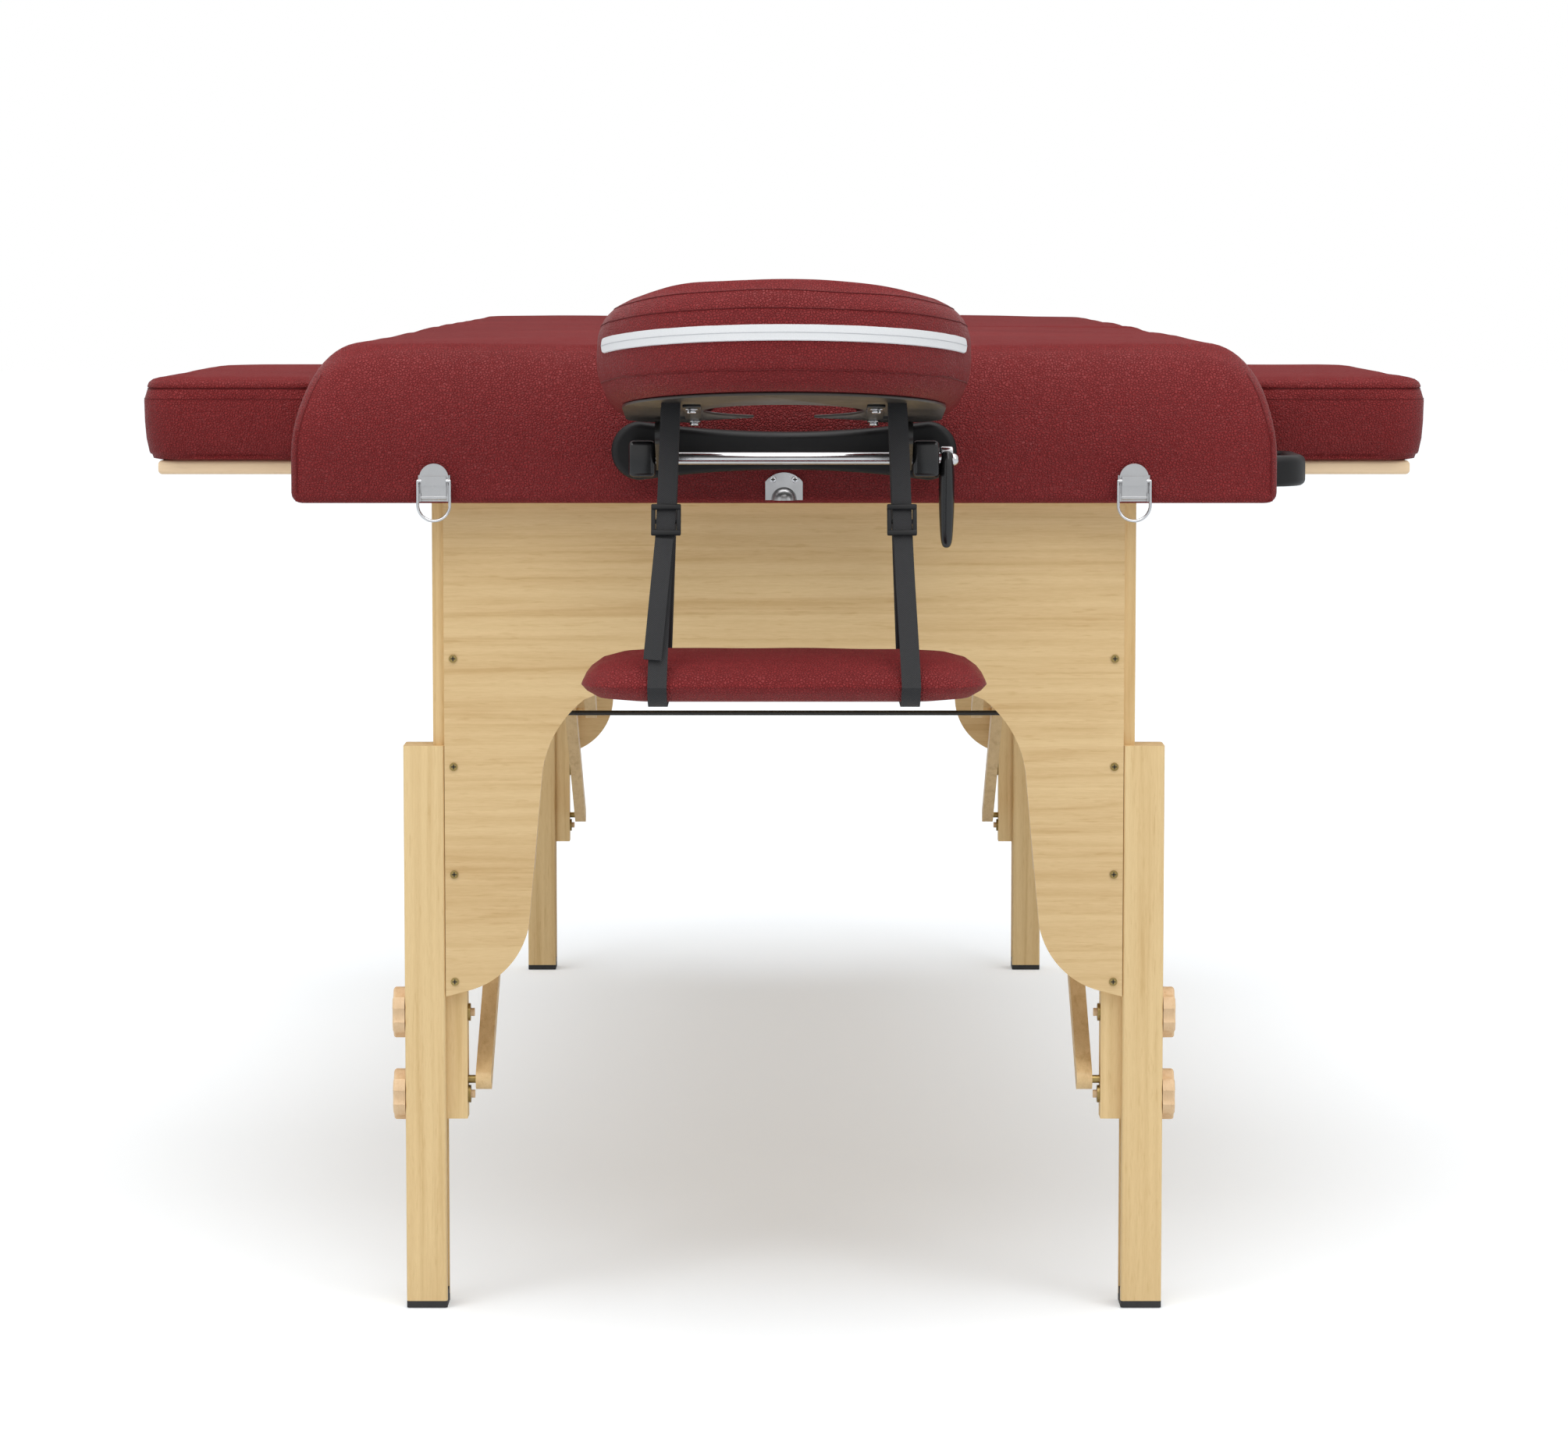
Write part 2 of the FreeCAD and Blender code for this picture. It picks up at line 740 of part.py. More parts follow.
def build_hardware(end):
    pieces = [fold_leaf(end, index, middle) for index, middle in enumerate(hinge_places)]
    pieces += [leg_hinge_frame_leaf(end, index, middle) for index, middle in enumerate(leg_hinge_places)]
    pieces += [strut_bracket(end, side) for side in sides]
    if end == "head":
        pieces += [latch_base(side) for side in sides]
        pieces.append(keeper_plate())
    else:
        pieces += [catch_plate(side) for side in sides]
    finish(group(f"{end}_fittings", *pieces), f"{end}_hardware")


def build_fold_pins():
    """Hinge pins with the middle knuckles that both leaves turn on."""
    pins = []
    for index, middle in enumerate(hinge_places):
        pin = rod(
            f"fold_pin_{index}", "fold_pin_radius", "hinge_width",
            (f"{middle} - hinge_width / 2", "y_fold", "fold_axis_height"), "x",
        )
        sleeve = rod(
            f"fold_sleeve_{index}", "fold_barrel_radius", third,
            (f"{middle} - hinge_width / 6", "y_fold", "fold_axis_height"), "x",
        )
        pins.append(fuse(f"fold_pin_set_{index}", pin, sleeve))
    finish(group("fold_pins", *pins), "center_hinge_pins")


def build_handle():
    """Moulded carry handle on the right side: two feet and a bowed bar."""
    length = size("handle_length")
    reach = size("handle_reach")
    bar = size("handle_bar")
    foot = size("handle_foot")
    shoulder = size("handle_shoulder")
    bulge = size("handle_shoulder_bulge")
    corner = size("handle_corner")
    inner = reach - bar
    far = length - foot
    outer = outline(
        (0, 0), bulged((0, 0), (reach, shoulder), -bulge), (reach, length - shoulder),
        bulged((reach, length - shoulder), (0, length), -bulge), (0, 0),
    )
    gap = outline(
        (-bar, foot), (inner - corner, foot), quarter_round((inner - corner, foot), (inner, foot + corner)),
        (inner, far - corner), quarter_round((inner, far - corner), (inner - corner, far)),
        (-bar, far), (-bar, foot),
    )
    at = ("half_width", "y_head + handle_start", "handle_low")
    solid = pad("handle_solid", "XY_Plane", [outer], "handle_height", at)
    grip = pad("handle_gap", "XY_Plane", [gap], "handle_height", at)
    blank = cut("handle_blank", solid, grip)
    outer_x = size("half_width") + size("handle_reach") / 3
    handle = rounded(
        "handle_round", blank, size("handle_round"),
        lambda edge, middle: middle.x > outer_x and not upright(edge, middle),
    )
    finish(handle, "carry_handle")


# Leg sets
def build_posts(end):
    posts = []
    width = "post_outer - post_inner"
    for side in sides:
        x = outboard(side, "post_inner", width)
        post = box(
            f"{end}_{side}_post", (width, "post_depth - 2 * slide_clearance", "post_top - post_bottom"),
            (x, inward(end, "panel_back + slide_clearance", "post_depth - 2 * slide_clearance"),
             "post_bottom"),
        )
        holes = []
        for height, radius in (("knob_low", "stud_radius"), ("knob_high", "stud_radius"),
                               ("strut_pivot_height", "strut_pin_radius")):
            holes.append(rod(
                f"{end}_{side}_{height}_hole", f"{radius} + bore_clearance", width,
                (x, inward(end, "post_middle"), height), "x",
            ))
        posts.append(cut(f"{end}_{side}_drilled_post", post, *holes))
    finish(group(f"{end}_post_pair", *posts), f"{end}_leg_posts")


def build_panel(end):
    """Plywood end panel with its arched cut-out and rounded lobes."""
    half = size("panel_half")
    top = size("post_top")
    right = [
        (size("arch_half"), size("arch_shoulder")), (size("flank_half"), size("flank_height")),
        (size("lobe_half"), size("lobe_height")), (size("toe_half"), size("toe_height")),
        (half, size("panel_bottom")),
    ]
    left = [(-x, z) for x, z in right]
    corner = size("arch_corner_bulge")
    lobe = size("lobe_bulge")
    face = outline(
        (-half, top), left[4], left[3], bulged(left[3], left[2], -lobe), left[1],
        bulged(left[1], left[0], corner), ((0, size("arch_top")), right[0]),
        bulged(right[0], right[1], corner), right[2], bulged(right[2], right[3], -lobe), right[4],
        (half, top), (-half, top),
    )
    at = ("0", inward(end, "leg_face", "panel_thick"), "0")
    finish(pad(f"{end}_panel_face", "XZ_Plane", [face], "panel_thick", at, reverse=True),
           f"{end}_end_panel")


def leg_hinge_leg_leaf(end, index, middle):
    """The leg side of a leg hinge: plate behind the panel and the middle knuckle."""
    name = f"{end}_leg_leaf_{index}"
    length = f"{third} - 2 * knuckle_gap"
    start = f"{middle} - hinge_width / 6 + knuckle_gap"
    plate = box(
        name + "_plate", ("hinge_width", "leaf_thick", "leg_hinge_leaf"),
        (f"{middle} - hinge_width / 2", inward(end, "panel_back", "leaf_thick"),
         "post_top - leg_hinge_leaf"),
    )
    rise = box(
        name + "_rise", (length, "leaf_thick", "leg_hinge_rise + leaf_thick"),
        (start, inward(end, "panel_back", "leaf_thick"), "post_top - leaf_thick"),
    )
    reach = "panel_back + leaf_thick - leg_axis"
    web = box(
        name + "_web", (length, reach, "leaf_thick"),
        (start, inward(end, "leg_axis", reach), "leg_axis_height - leaf_thick"),
    )
    axis = (start, inward(end, "leg_axis"), "leg_axis_height")
    barrel = rod(name + "_barrel", "leg_barrel_radius", length, axis, "x")
    bore = rod(name + "_bore", "leg_pin_radius + bore_clearance", length, axis, "x")
    return cut(name, fuse(name + "_solid", plate, rise, web, barrel), bore)


def build_leg_hardware(end):
    """Hinge leaves, panel screws, knob nuts and strut pivot bolts of one leg set."""
    pieces = [leg_hinge_leg_leaf(end, index, middle) for index, middle in enumerate(leg_hinge_places)]
    count = int(size("screw_count"))
    for side in sides:
        screw_x = outboard(side, "panel_half - screw_inset")
        for index in range(count):
            height = f"screw_low + (screw_high - screw_low) * {index} / (screw_count - 1)"
            pieces.append(rod(
                f"{end}_{side}_screw_{index}", "screw_radius", "screw_head",
                (screw_x, inward(end, "leg_face - screw_head", "screw_head"), height), "y",
            ))
        for height in ("knob_low", "knob_high"):
            name = f"{end}_{side}_{height}_nut"
            start = (outboard(side, "post_inner - nut_thick", "nut_thick"),
                     inward(end, "post_middle"), height)
            disc = rod(name + "_disc", "nut_radius", "nut_thick", start, "x")
            hole = rod(name + "_hole", "stud_radius + bore_clearance", "nut_thick", start, "x")
            pieces.append(cut(name, disc, hole))
        length = "post_outer - lower_strut_inner"
        pieces.append(rod(
            f"{end}_{side}_strut_bolt", "strut_pin_radius", length,
            (outboard(side, "lower_strut_inner", length), inward(end, "post_middle"),
             "strut_pivot_height"), "x",
        ))
    finish(group(f"{end}_leg_fittings", *pieces), f"{end}_leg_hardware")


def build_leg(end, side):
    """Sliding outer leg: grooved for the post, slotted for the knob studs, with a rubber foot."""
    name = f"{end}_{side}"
    x = outboard(side, "leg_inner", "leg_width")
    bar = box(
        name + "_leg_bar", ("leg_width", "leg_depth", "leg_top - foot_sole"),
        (x, inward(end, "leg_face", "leg_depth"), "foot_sole"),
    )
    bar = rounded(name + "_leg_edges", bar, size("leg_edge_round"), upright)
    groove = box(
        name + "_groove", ("groove_depth", "post_depth", "leg_top"),
        (outboard(side, "leg_inner", "groove_depth"), inward(end, "panel_back", "post_depth"), "0"),
    )
    middle = inward(end, "post_middle")
    channel = box(
        name + "_slot", ("leg_width", "slot_width", "slot_top - slot_bottom - slot_width"),
        (x, f"{middle} - slot_width / 2", "slot_bottom + slot_width / 2"),
    )
    tools = [groove, channel]
    for height in ("slot_bottom + slot_width / 2", "slot_top - slot_width / 2"):
        tools.append(rod(f"{name}_slot_end_{len(tools)}", "slot_width / 2", "leg_width",
                         (x, middle, height), "x"))
    finish(cut(name + "_leg_slotted", bar, *tools), f"{name}_leg")
    sole = box(
        name + "_sole", ("leg_width", "leg_depth", "foot_sole"),
        (x, inward(end, "leg_face", "leg_depth"), "0"),
    )
    sole = rounded(name + "_sole_edges", sole, size("leg_edge_round"), upright)
    plug_width = "groove_depth - 2 * slide_clearance"
    plug_depth = "post_depth - 2 * slide_clearance"
    plug = box(
        name + "_plug", (plug_width, plug_depth, "foot_plug"),
        (outboard(side, "leg_inner + slide_clearance", plug_width),
         inward(end, "panel_back + slide_clearance", plug_depth), "foot_sole"),
    )
    finish(fuse(name + "_boot", sole, plug), f"{name}_foot")


def build_knob(end, side, level):
    """Lobed clamp knob with its stud."""
    name = f"{end}_{side}_{level}_knob"
    height = f"knob_{level}"
    middle = inward(end, "post_middle")
    start = outboard(side, "leg_outer + knob_gap", "knob_thick")
    disc = rod(name + "_disc", "knob_radius", "knob_thick", (start, middle, height), "x")
    lobes = int(size("knob_lobes"))
    scallops = []
    reach = "(knob_radius + scallop_radius - scallop_depth)"
    for index in range(lobes):
        turn = 360 * index / lobes
        scallops.append(rod(
            f"{name}_scallop_{index}", "scallop_radius", "knob_thick",
            (start, f"{middle} + {reach} * cos({turn} deg)", f"{height} + {reach} * sin({turn} deg)"), "x",
        ))
    blank = cut(name + "_lobed", disc, *scallops)
    face = size("leg_outer") + size("knob_gap") + size("knob_thick")
    star = rounded(
        name + "_star", blank, size("knob_round"),
        lambda edge, point: abs(abs(point.x) - face) < 0.01,
    )
    stud_length = "leg_outer + knob_gap - post_inner + stud_tip + nut_thick"
    stud = rod(
        name + "_stud", "stud_radius", stud_length,
        (outboard(side, "post_inner - nut_thick - stud_tip", stud_length), middle, height), "x",
    )
    finish(fuse(name + "_turned", star, stud), name)


# Folding struts
def strut_bar(name, end, side, inner, length, at_offset, at_height, toward):
    """A round-ended bar on the strut's slope; it leaves its pivot inward or back to the end."""
    blank = doc.addObject("Part::Box", name + "_bar")
    bind(blank, "Length", "strut_thick")
    bind(blank, "Width", length)
    bind(blank, "Height", "strut_depth")
    place(blank, ("0", "0" if toward > 0 else f"-({length})", "-strut_depth / 2"))
    tip = length if toward > 0 else f"-({length})"
    round_ends = [rod(f"{name}_end_{i}", "strut_depth / 2", "strut_thick", ("0", y, "0"), "x")
                  for i, y in enumerate(("0", tip))]
    bore = rod(name + "_bore", "strut_pin_radius + bore_clearance", "strut_thick", ("0", "0", "0"), "x")
    bar = cut(name + "_drilled", fuse(name + "_solid", blank, *round_ends), bore)
    sense = 1 if end == "head" else -1
    turned = group(name, bar)
    turned.Placement.Rotation = FreeCAD.Rotation(V(sense, 0, 0), size("strut_slope"))
    bind(turned, "Placement.Rotation.Angle", "strut_slope")
    return place(turned, (outboard(side, inner, "strut_thick"), inward(end, at_offset), at_height))


def build_struts(end):
    toward = 1 if end == "head" else -1
    lower, upper = [], []
    for side in sides:
        name = f"{end}_{side}"
        bar = strut_bar(
            name + "_lower_bar", end, side, "lower_strut_inner", "lower_strut",
            "post_middle", "strut_pivot_height", toward,
        )
        stub_length = "lower_strut_inner - upper_strut_inner - strut_thick - knee_gap"
        stub = rod(
            name + "_knee_stub", "strut_pin_radius", stub_length,
            (outboard(side, f"lower_strut_inner - ({stub_length})", stub_length),
             inward(end, "post_middle + lower_strut * cos(strut_slope)"),
             "strut_pivot_height + lower_strut * sin(strut_slope)"), "x",
        )
        lower.append(fuse(name + "_lower_strut", bar, stub))
        upper.append(strut_bar(
            name + "_upper_bar", end, side, "upper_strut_inner", "upper_strut",
            "upper_pivot", "upper_pivot_height", -toward,
        ))
    finish(group(f"{end}_lower_pair", *lower), f"{end}_lower_struts")
    finish(group(f"{end}_upper_pair", *upper), f"{end}_upper_struts")
    along = "(lower_strut + tie_bar_reach)"
    bar = rod(
        f"{end}_tie", "tie_bar_radius", "2 * upper_strut_inner",
        ("-upper_strut_inner", inward(end, f"post_middle + {along} * cos(strut_slope)"),
         f"strut_pivot_height + {along} * sin(strut_slope)"), "x",
    )
    finish(bar, f"{end}_tie_bar")


# Face cradle
def cradle_rods(radius):
    return [
        rod("cradle_rod", radius, "crossbar_gap + rod_depth",
            (x, "y_head - crossbar_gap", "rod_height"), "y")
        for x in ("-rod_spread", "rod_spread")
    ]


def horseshoe(half, opening, front, back):
    """Plan of a U whose closed round end points away from the table; distances from the head end."""
    bend = front - half
    lean = math.sqrt(0.5)
    tip = (half - opening) / 2
    return outline(
        (-half, -back - tip), (-half, -bend), ((-half * lean, -bend - half * lean), (0, -front)),
        ((half * lean, -bend - half * lean), (half, -bend)), (half, -back - tip),
        ((half - tip, -back), (opening, -back - tip)), (opening, -bend),
        ((opening * lean, -bend - opening * lean), (0, -bend - opening)),
        ((-opening * lean, -bend - opening * lean), (-opening, -bend)), (-opening, -back - tip),
        ((tip - half, -back), (-half, -back - tip)),
    )


def build_crossbar():
    """Dog-bone bar with two rods that push into the end rail, pivot blocks and the tie rod."""
    half = size("crossbar_half")
    lobe = size("crossbar_end_half")
    waist = size("crossbar_waist_half")
    inner = half - lobe
    face = outline(
        (-inner, -lobe), ((0, -waist), (inner, -lobe)), ((half, 0), (inner, lobe)),
        ((0, waist), (-inner, lobe)), ((-half, 0), (-inner, -lobe)),
    )
    at = ("0", "y_head - crossbar_gap", "crossbar_middle")
    bar = pad("crossbar_bar", "XZ_Plane", [face], "crossbar_thick", at)
    fillet_body(bar, "crossbar_round", lambda edge, middle: True)
    finish(bar, "cradle_crossbar")
    finish(group("cradle_rod_pair", *cradle_rods("rod_radius")), "cradle_rods")
    blocks = []
    for side in sides:
        name = f"{side}_pivot_block"
        x = outboard(side, "block_inner", "block_width")
        block = box(
            name + "_body", ("block_width", "block_length - block_half", "2 * block_half"),
            (x, "y_head - crossbar_gap - crossbar_thick - block_length + block_half",
             "tilt_height - block_half"),
        )
        axis = (x, "y_head - tilt_axis", "tilt_height")
        nose = rod(name + "_nose", "block_half", "block_width", axis, "x")
        bore = rod(name + "_bore", "tie_rod_radius + bore_clearance", "block_width", axis, "x")
        behind = box(
            name + "_behind", ("block_width", "crossbar_thick", "4 * block_half"),
            (x, "y_head - crossbar_gap - crossbar_thick", "tilt_height - 2 * block_half"),
        )
        blocks.append(cut(name, fuse(name + "_solid", block, nose), bore, behind))
    finish(group("pivot_block_pair", *blocks), "cradle_pivot_blocks")
    tie = rod(
        "tilt_tie", "tie_rod_radius", "2 * (block_inner + block_width) + lever_seat",
        ("-block_inner - block_width", "y_head - tilt_axis", "tilt_height"), "x",
    )
    finish(tie, "cradle_tie_rod")


def build_cam_lever():
    """Clamping lever on the end of the tie rod, with its ball-headed pin."""
    start = "block_inner + block_width + lever_gap"
    axis = (start, "y_head - tilt_axis", "tilt_height")
    hub = rod("cam_hub", "lever_hub_radius", "lever_thick", axis, "x")
    ball = doc.addObject("Part::Sphere", "cam_ball")
    bind(ball, "Radius", "lever_ball_radius")
    place(ball, (f"{start} + lever_thick", "y_head - tilt_axis", "tilt_height"))
    hub_radius = size("lever_hub_radius")
    tip = size("lever_tip_radius")
    length = size("lever_length")
    arm = outline(
        (hub_radius, 0), (tip, -length + tip), ((0, -length), (-tip, -length + tip)), (-hub_radius, 0),
        (hub_radius, 0)
    )
    blade = pad("cam_blade", "YZ_Plane", [arm], "lever_thick", axis)
    socket = rod("cam_socket", "tie_rod_radius + bore_clearance", "lever_seat", axis, "x")
    finish(cut("cam_turned", fuse("cam_solid", hub, blade, ball), socket), "cam_lever")


def build_links():
    """Two short link plates from the tie rod to the platform ears, each with its pin."""
    links = []
    length = "sqrt(link_reach ^ 2 + link_rise ^ 2)"
    for side in sides:
        name = f"{side}_link"
        x = outboard(side, "link_inner", "link_thick")
        bar = box(name + "_bar", ("link_thick", length, "2 * link_half"),
                  ("0", f"-({length})", "-link_half"))
        round_ends = [rod(f"{name}_end_{i}", "link_half", "link_thick", ("0", y, "0"), "x")
                      for i, y in enumerate(("0", f"-({length})"))]
        bore = rod(name + "_bore", "tie_rod_radius + bore_clearance", "link_thick", ("0", "0", "0"), "x")
        plate = cut(name + "_plate", fuse(name + "_solid", bar, *round_ends), bore)
        turned = group(name + "_turned", plate)
        turned.Placement.Rotation = FreeCAD.Rotation(V(-1, 0, 0), size("link_slope"))
        bind(turned, "Placement.Rotation.Angle", "link_slope")
        place(turned, (x, "y_head - tilt_axis", "tilt_height"))
        pin_length = "ear_thick + link_gap + link_thick"
        pin = rod(
            name + "_pin", "link_pin_radius", pin_length,
            (outboard(side, "ear_inner", pin_length), "y_head - link_axis", "link_axis_height"), "x",
        )
        links.append(fuse(name, turned, pin))
    finish(group("link_pair", *links), "cradle_links")


def leaned(name, obj):
    """A piece of the platform, leaned back about the pins of the links."""
    turned = group(name, obj)
    pivot = V(0, size("y_head") - size("link_axis"), size("link_axis_height"))
    turned.Placement = FreeCAD.Placement(V(), FreeCAD.Rotation(V(-1, 0, 0), size("platform_lean")), pivot)
    return turned


def platform_plan():
    """Plan of the platform: a round-fronted plate with a round hole that opens between two inward tips."""
    half = size("platform_half")
    front = size("platform_front")
    back = size("platform_back")
    hole = size("platform_hole_half")
    middle = size("platform_hole_middle")
    tip = size("platform_tip_half")
    bend = front - half
    lean = math.sqrt(0.5)
    mouth = -middle + math.sqrt(hole ** 2 - tip ** 2)
    corner = (half - hole) / 2
    return outline(
        (-half, -back - corner), (-half, -bend), ((-half * lean, -bend - half * lean), (0, -front)),
        ((half * lean, -bend - half * lean), (half, -bend)), (half, -back - corner),
        quarter_round((half, -back - corner), (half - corner, -back)), (tip, mouth),
        ((hole, -middle), (0, -middle - hole)), ((-hole, -middle), (-tip, mouth)),
        (corner - half, -back), quarter_round((corner - half, -back), (-half, -back - corner)),
    )


def build_platform():
    """Horseshoe plate, its two ear brackets and the face cushion."""
    plate = pad("platform_plate", "XY_Plane", [platform_plan()], "platform_thick",
                ("0", "y_head", "platform_under"))
    finish(leaned("platform_leaned", plate), "cradle_platform")
    brackets = []
    for side in sides:
        name = f"{side}_ear"
        x = outboard(side, "ear_inner", "ear_thick")
        axis = (x, "y_head - link_axis", "link_axis_height")
        plate = box(
            name + "_plate", ("ear_thick", "2 * ear_half", "platform_under - link_axis_height"),
            (x, "y_head - link_axis - ear_half", "link_axis_height"),
        )
        nose = rod(name + "_nose", "ear_half", "ear_thick", axis, "x")
        flange = box(
            name + "_flange", ("ear_flange_width", "2 * ear_flange_half", "ear_thick / 2"),
            (outboard(side, "ear_inner + ear_thick - ear_flange_width", "ear_flange_width"),
             "y_head - link_axis - ear_flange_half", "platform_under - ear_thick / 2"),
        )
        bore = rod(name + "_bore", "link_pin_radius + bore_clearance", "ear_thick", axis, "x")
        brackets.append(cut(name, fuse(name + "_solid", plate, nose, flange), bore))
    finish(leaned("ears_leaned", group("ear_pair", *brackets)), "platform_brackets")
    plan = horseshoe(
        size("face_cushion_half"), size("face_opening_half"),
        size("face_cushion_front"), size("face_cushion_back"),
    )
    height = size("face_cushion_top") - size("platform_top")
    ring = pad(
        "face_ring", "XY_Plane", [plan], "face_cushion_top - platform_top",
        ("0", "y_head", "platform_top"),
    )
    fillet_body(ring, "face_top_round", lambda edge, middle: middle.z > height - 0.01)
    fillet_body(ring, "face_bottom_round", lambda edge, middle: middle.z < 0.01)
    finish(leaned("face_leaned", ring), "face_cushion")


# Hanging arm shelf
def lens(half):
    """Section of the arm shelf pad: flat below, full at the edge, slightly crowned on top."""
    low = size("shelf_bottom")
    top = low + size("shelf_thick")
    edge = low + size("shelf_edge_rise")
    rim = top - size("shelf_crown")
    flat = half * size("shelf_flat")
    low_bulge = size("shelf_edge_bulge")
    top_bulge = size("shelf_top_bulge")
    return outline(
        (-half, edge), bulged((-half, edge), (-flat, low), -low_bulge), (flat, low),
        bulged((flat, low), (half, edge), -low_bulge), bulged((half, edge), (flat, rim), -top_bulge),
        ((0, top), (-flat, rim)), bulged((-flat, rim), (-half, edge), -top_bulge),
    )


def build_arm_shelf():
    """Lens-shaped pad in two webbing loops that hang from the platform."""
    half = size("shelf_half_width")
    depth = size("shelf_half_depth")
    corner = size("shelf_corner")
    corners = (
        ((half - corner, -depth), (half, corner - depth)), ((half, depth - corner), (half - corner, depth)),
        ((corner - half, depth), (-half, depth - corner)),
        ((-half, corner - depth), (corner - half, -depth)),
    )
    steps = []
    for start, end in corners:
        steps += [start, quarter_round(start, end)]
    plan = outline((corner - half, -depth), *steps)
    blank = common(
        "shelf_blank",
        pad("shelf_across", "XZ_Plane", [lens(half)], "table_length", midplane=True),
        pad("shelf_along", "YZ_Plane", [lens(depth)], "table_width", midplane=True),
        pad("shelf_plan", "XY_Plane", [plan], "table_top"),
    )
    finish(place(blank, ("0", "y_head - shelf_middle", "0")), "arm_shelf_pad")


def build_straps():
    """Two webbing loops under the pad and over the platform, each with its slide buckle."""
    depth = size("shelf_half_depth")
    low = size("shelf_bottom")
    edge = low + size("shelf_edge_rise")
    clear = size("strap_clearance")
    web = size("strap_thick")
    bend = size("strap_top_radius")
    axis = size("strap_axis_height")
    flat = depth * size("shelf_flat")
    bulge = size("shelf_edge_bulge") + clear / 2
    front = (-depth - clear, edge)
    back = (depth + clear, edge)
    inner = outline(
        (-bend, axis), front, bulged(front, (-flat, low - clear), -bulge), (flat, low - clear),
        bulged((flat, low - clear), back, -bulge), (bend, axis), ((0, axis + bend), (-bend, axis)),
    )
    loop = Part.Wire([curve.toShape() for curve in inner])
    outer = loop.makeOffset2D(web, 2)
    band = Part.Face([outer, loop])
    band.validate()
    middle_y = size("y_head") - size("shelf_middle")
    side_on = FreeCAD.Rotation(V(1, 1, 1), 120)
    straps = []
    buckles = []
    slope = math.atan2(depth + clear - bend, axis - edge)
    for side in sides:
        start = size("strap_spread") - size("strap_width") / 2
        if side == "left":
            start = -start - size("strap_width")
        strap = doc.addObject("Part::Feature", f"{side}_strap")
        strap.Shape = band.extrude(V(0, 0, size("strap_width")))
        strap.Placement = FreeCAD.Placement(V(start, middle_y, 0), side_on)
        straps.append(strap)
        name = f"{side}_buckle"
        frame = box(name + "_frame", ("buckle_width", "buckle_thick", "buckle_height"),
                    ("-buckle_width / 2", "-buckle_thick / 2", "-buckle_height / 2"))
        opening = box(
            name + "_opening",
            ("strap_width + 2 * strap_clearance", "strap_thick + 2 * strap_clearance", "2 * buckle_height"),
            ("-strap_width / 2 - strap_clearance", "-strap_thick / 2 - strap_clearance", "-buckle_height"),
        )
        buckle = group(name, cut(name + "_cut", frame, opening))
        drop = size("buckle_drop")
        lean_out = math.tan(slope) * drop + web / 2 / math.cos(slope)
        buckle.Placement = FreeCAD.Placement(
            V(start + size("strap_width") / 2, middle_y - bend - lean_out, axis - drop),
            FreeCAD.Rotation(V(1, 0, 0), -math.degrees(slope)),
        )
        buckles.append(buckle)
    finish(group("strap_pair", *straps), "arm_shelf_straps")
    finish(group("buckle_pair", *buckles), "strap_buckles")


# Side armrests
def dowel_rods(side, radius):
    return [
        rod(f"{side}_dowel", radius, "dowel_depth",
            (outboard(side, "armrest_inner - dowel_depth", "dowel_depth"),
             f"y_head + armrest_start + {along}",
             "dowel_height"), "x")
        for along in ("dowel_inset", "armrest_length - dowel_inset")
    ]


def build_armrest(side):
    """Board with two dowels that push into the side rail, and its crowned pad."""
    board = box(
        f"{side}_board",
        ("armrest_width - armrest_board_inset", "armrest_length - 2 * armrest_board_inset",
         "armrest_board_thick"),
        (outboard(side, "armrest_inner", "armrest_width - armrest_board_inset"),
         "y_head + armrest_start + armrest_board_inset", "armrest_board_low"),
    )
    inner_x = size("armrest_inner") + size("bore_clearance")
    board = rounded(
        f"{side}_board_edges", board, size("armrest_board_round"),
        lambda edge, middle: not upright(edge, middle) and abs(middle.x) > inner_x,
    )
    finish(fuse(f"{side}_doweled_board", board, *dowel_rods(side, "dowel_radius")), f"{side}_armrest_board")
    width = size("armrest_width")
    length = size("armrest_length")
    base = size("armrest_board_top")
    wall = base + size("armrest_wall")
    top = size("armrest_top")
    draw = size("side_draw")
    corner = size("armrest_corner")
    across = outline(
        (draw, base), ((0, base + (wall - base) / 2), (draw, wall)),
        ((width / 2, top), (width - draw, wall)),
        ((width, base + (wall - base) / 2), (width - draw, base)), (draw, base),
    )
    along = outline(
        (draw, base), ((0, base + (wall - base) / 2), (draw, wall)),
        ((length / 2, top), (length - draw, wall)),
        ((length, base + (wall - base) / 2), (length - draw, base)), (draw, base),
    )
    plan = outline(
        (corner, 0), (width - corner, 0), quarter_round((width - corner, 0), (width, corner)),
        ((width - draw, length / 2), (width, length - corner)),
        quarter_round((width, length - corner), (width - corner, length)), (corner, length),
        quarter_round((corner, length), (0, length - corner)),
        ((draw, length / 2), (0, corner)), quarter_round((0, corner), (corner, 0)),
    )
    blank = common(
        f"{side}_armrest_blank",
        pad(f"{side}_armrest_across", "XZ_Plane", [across], "table_length", midplane=True),
        pad(f"{side}_armrest_along", "YZ_Plane", [along], "table_width", midplane=True),
        pad(f"{side}_armrest_plan", "XY_Plane", [plan], "table_top"),
    )
    place(blank, (outboard(side, "armrest_inner", "armrest_width"), "y_head + armrest_start", "0"))
    finish(blank, f"{side}_armrest_pad")


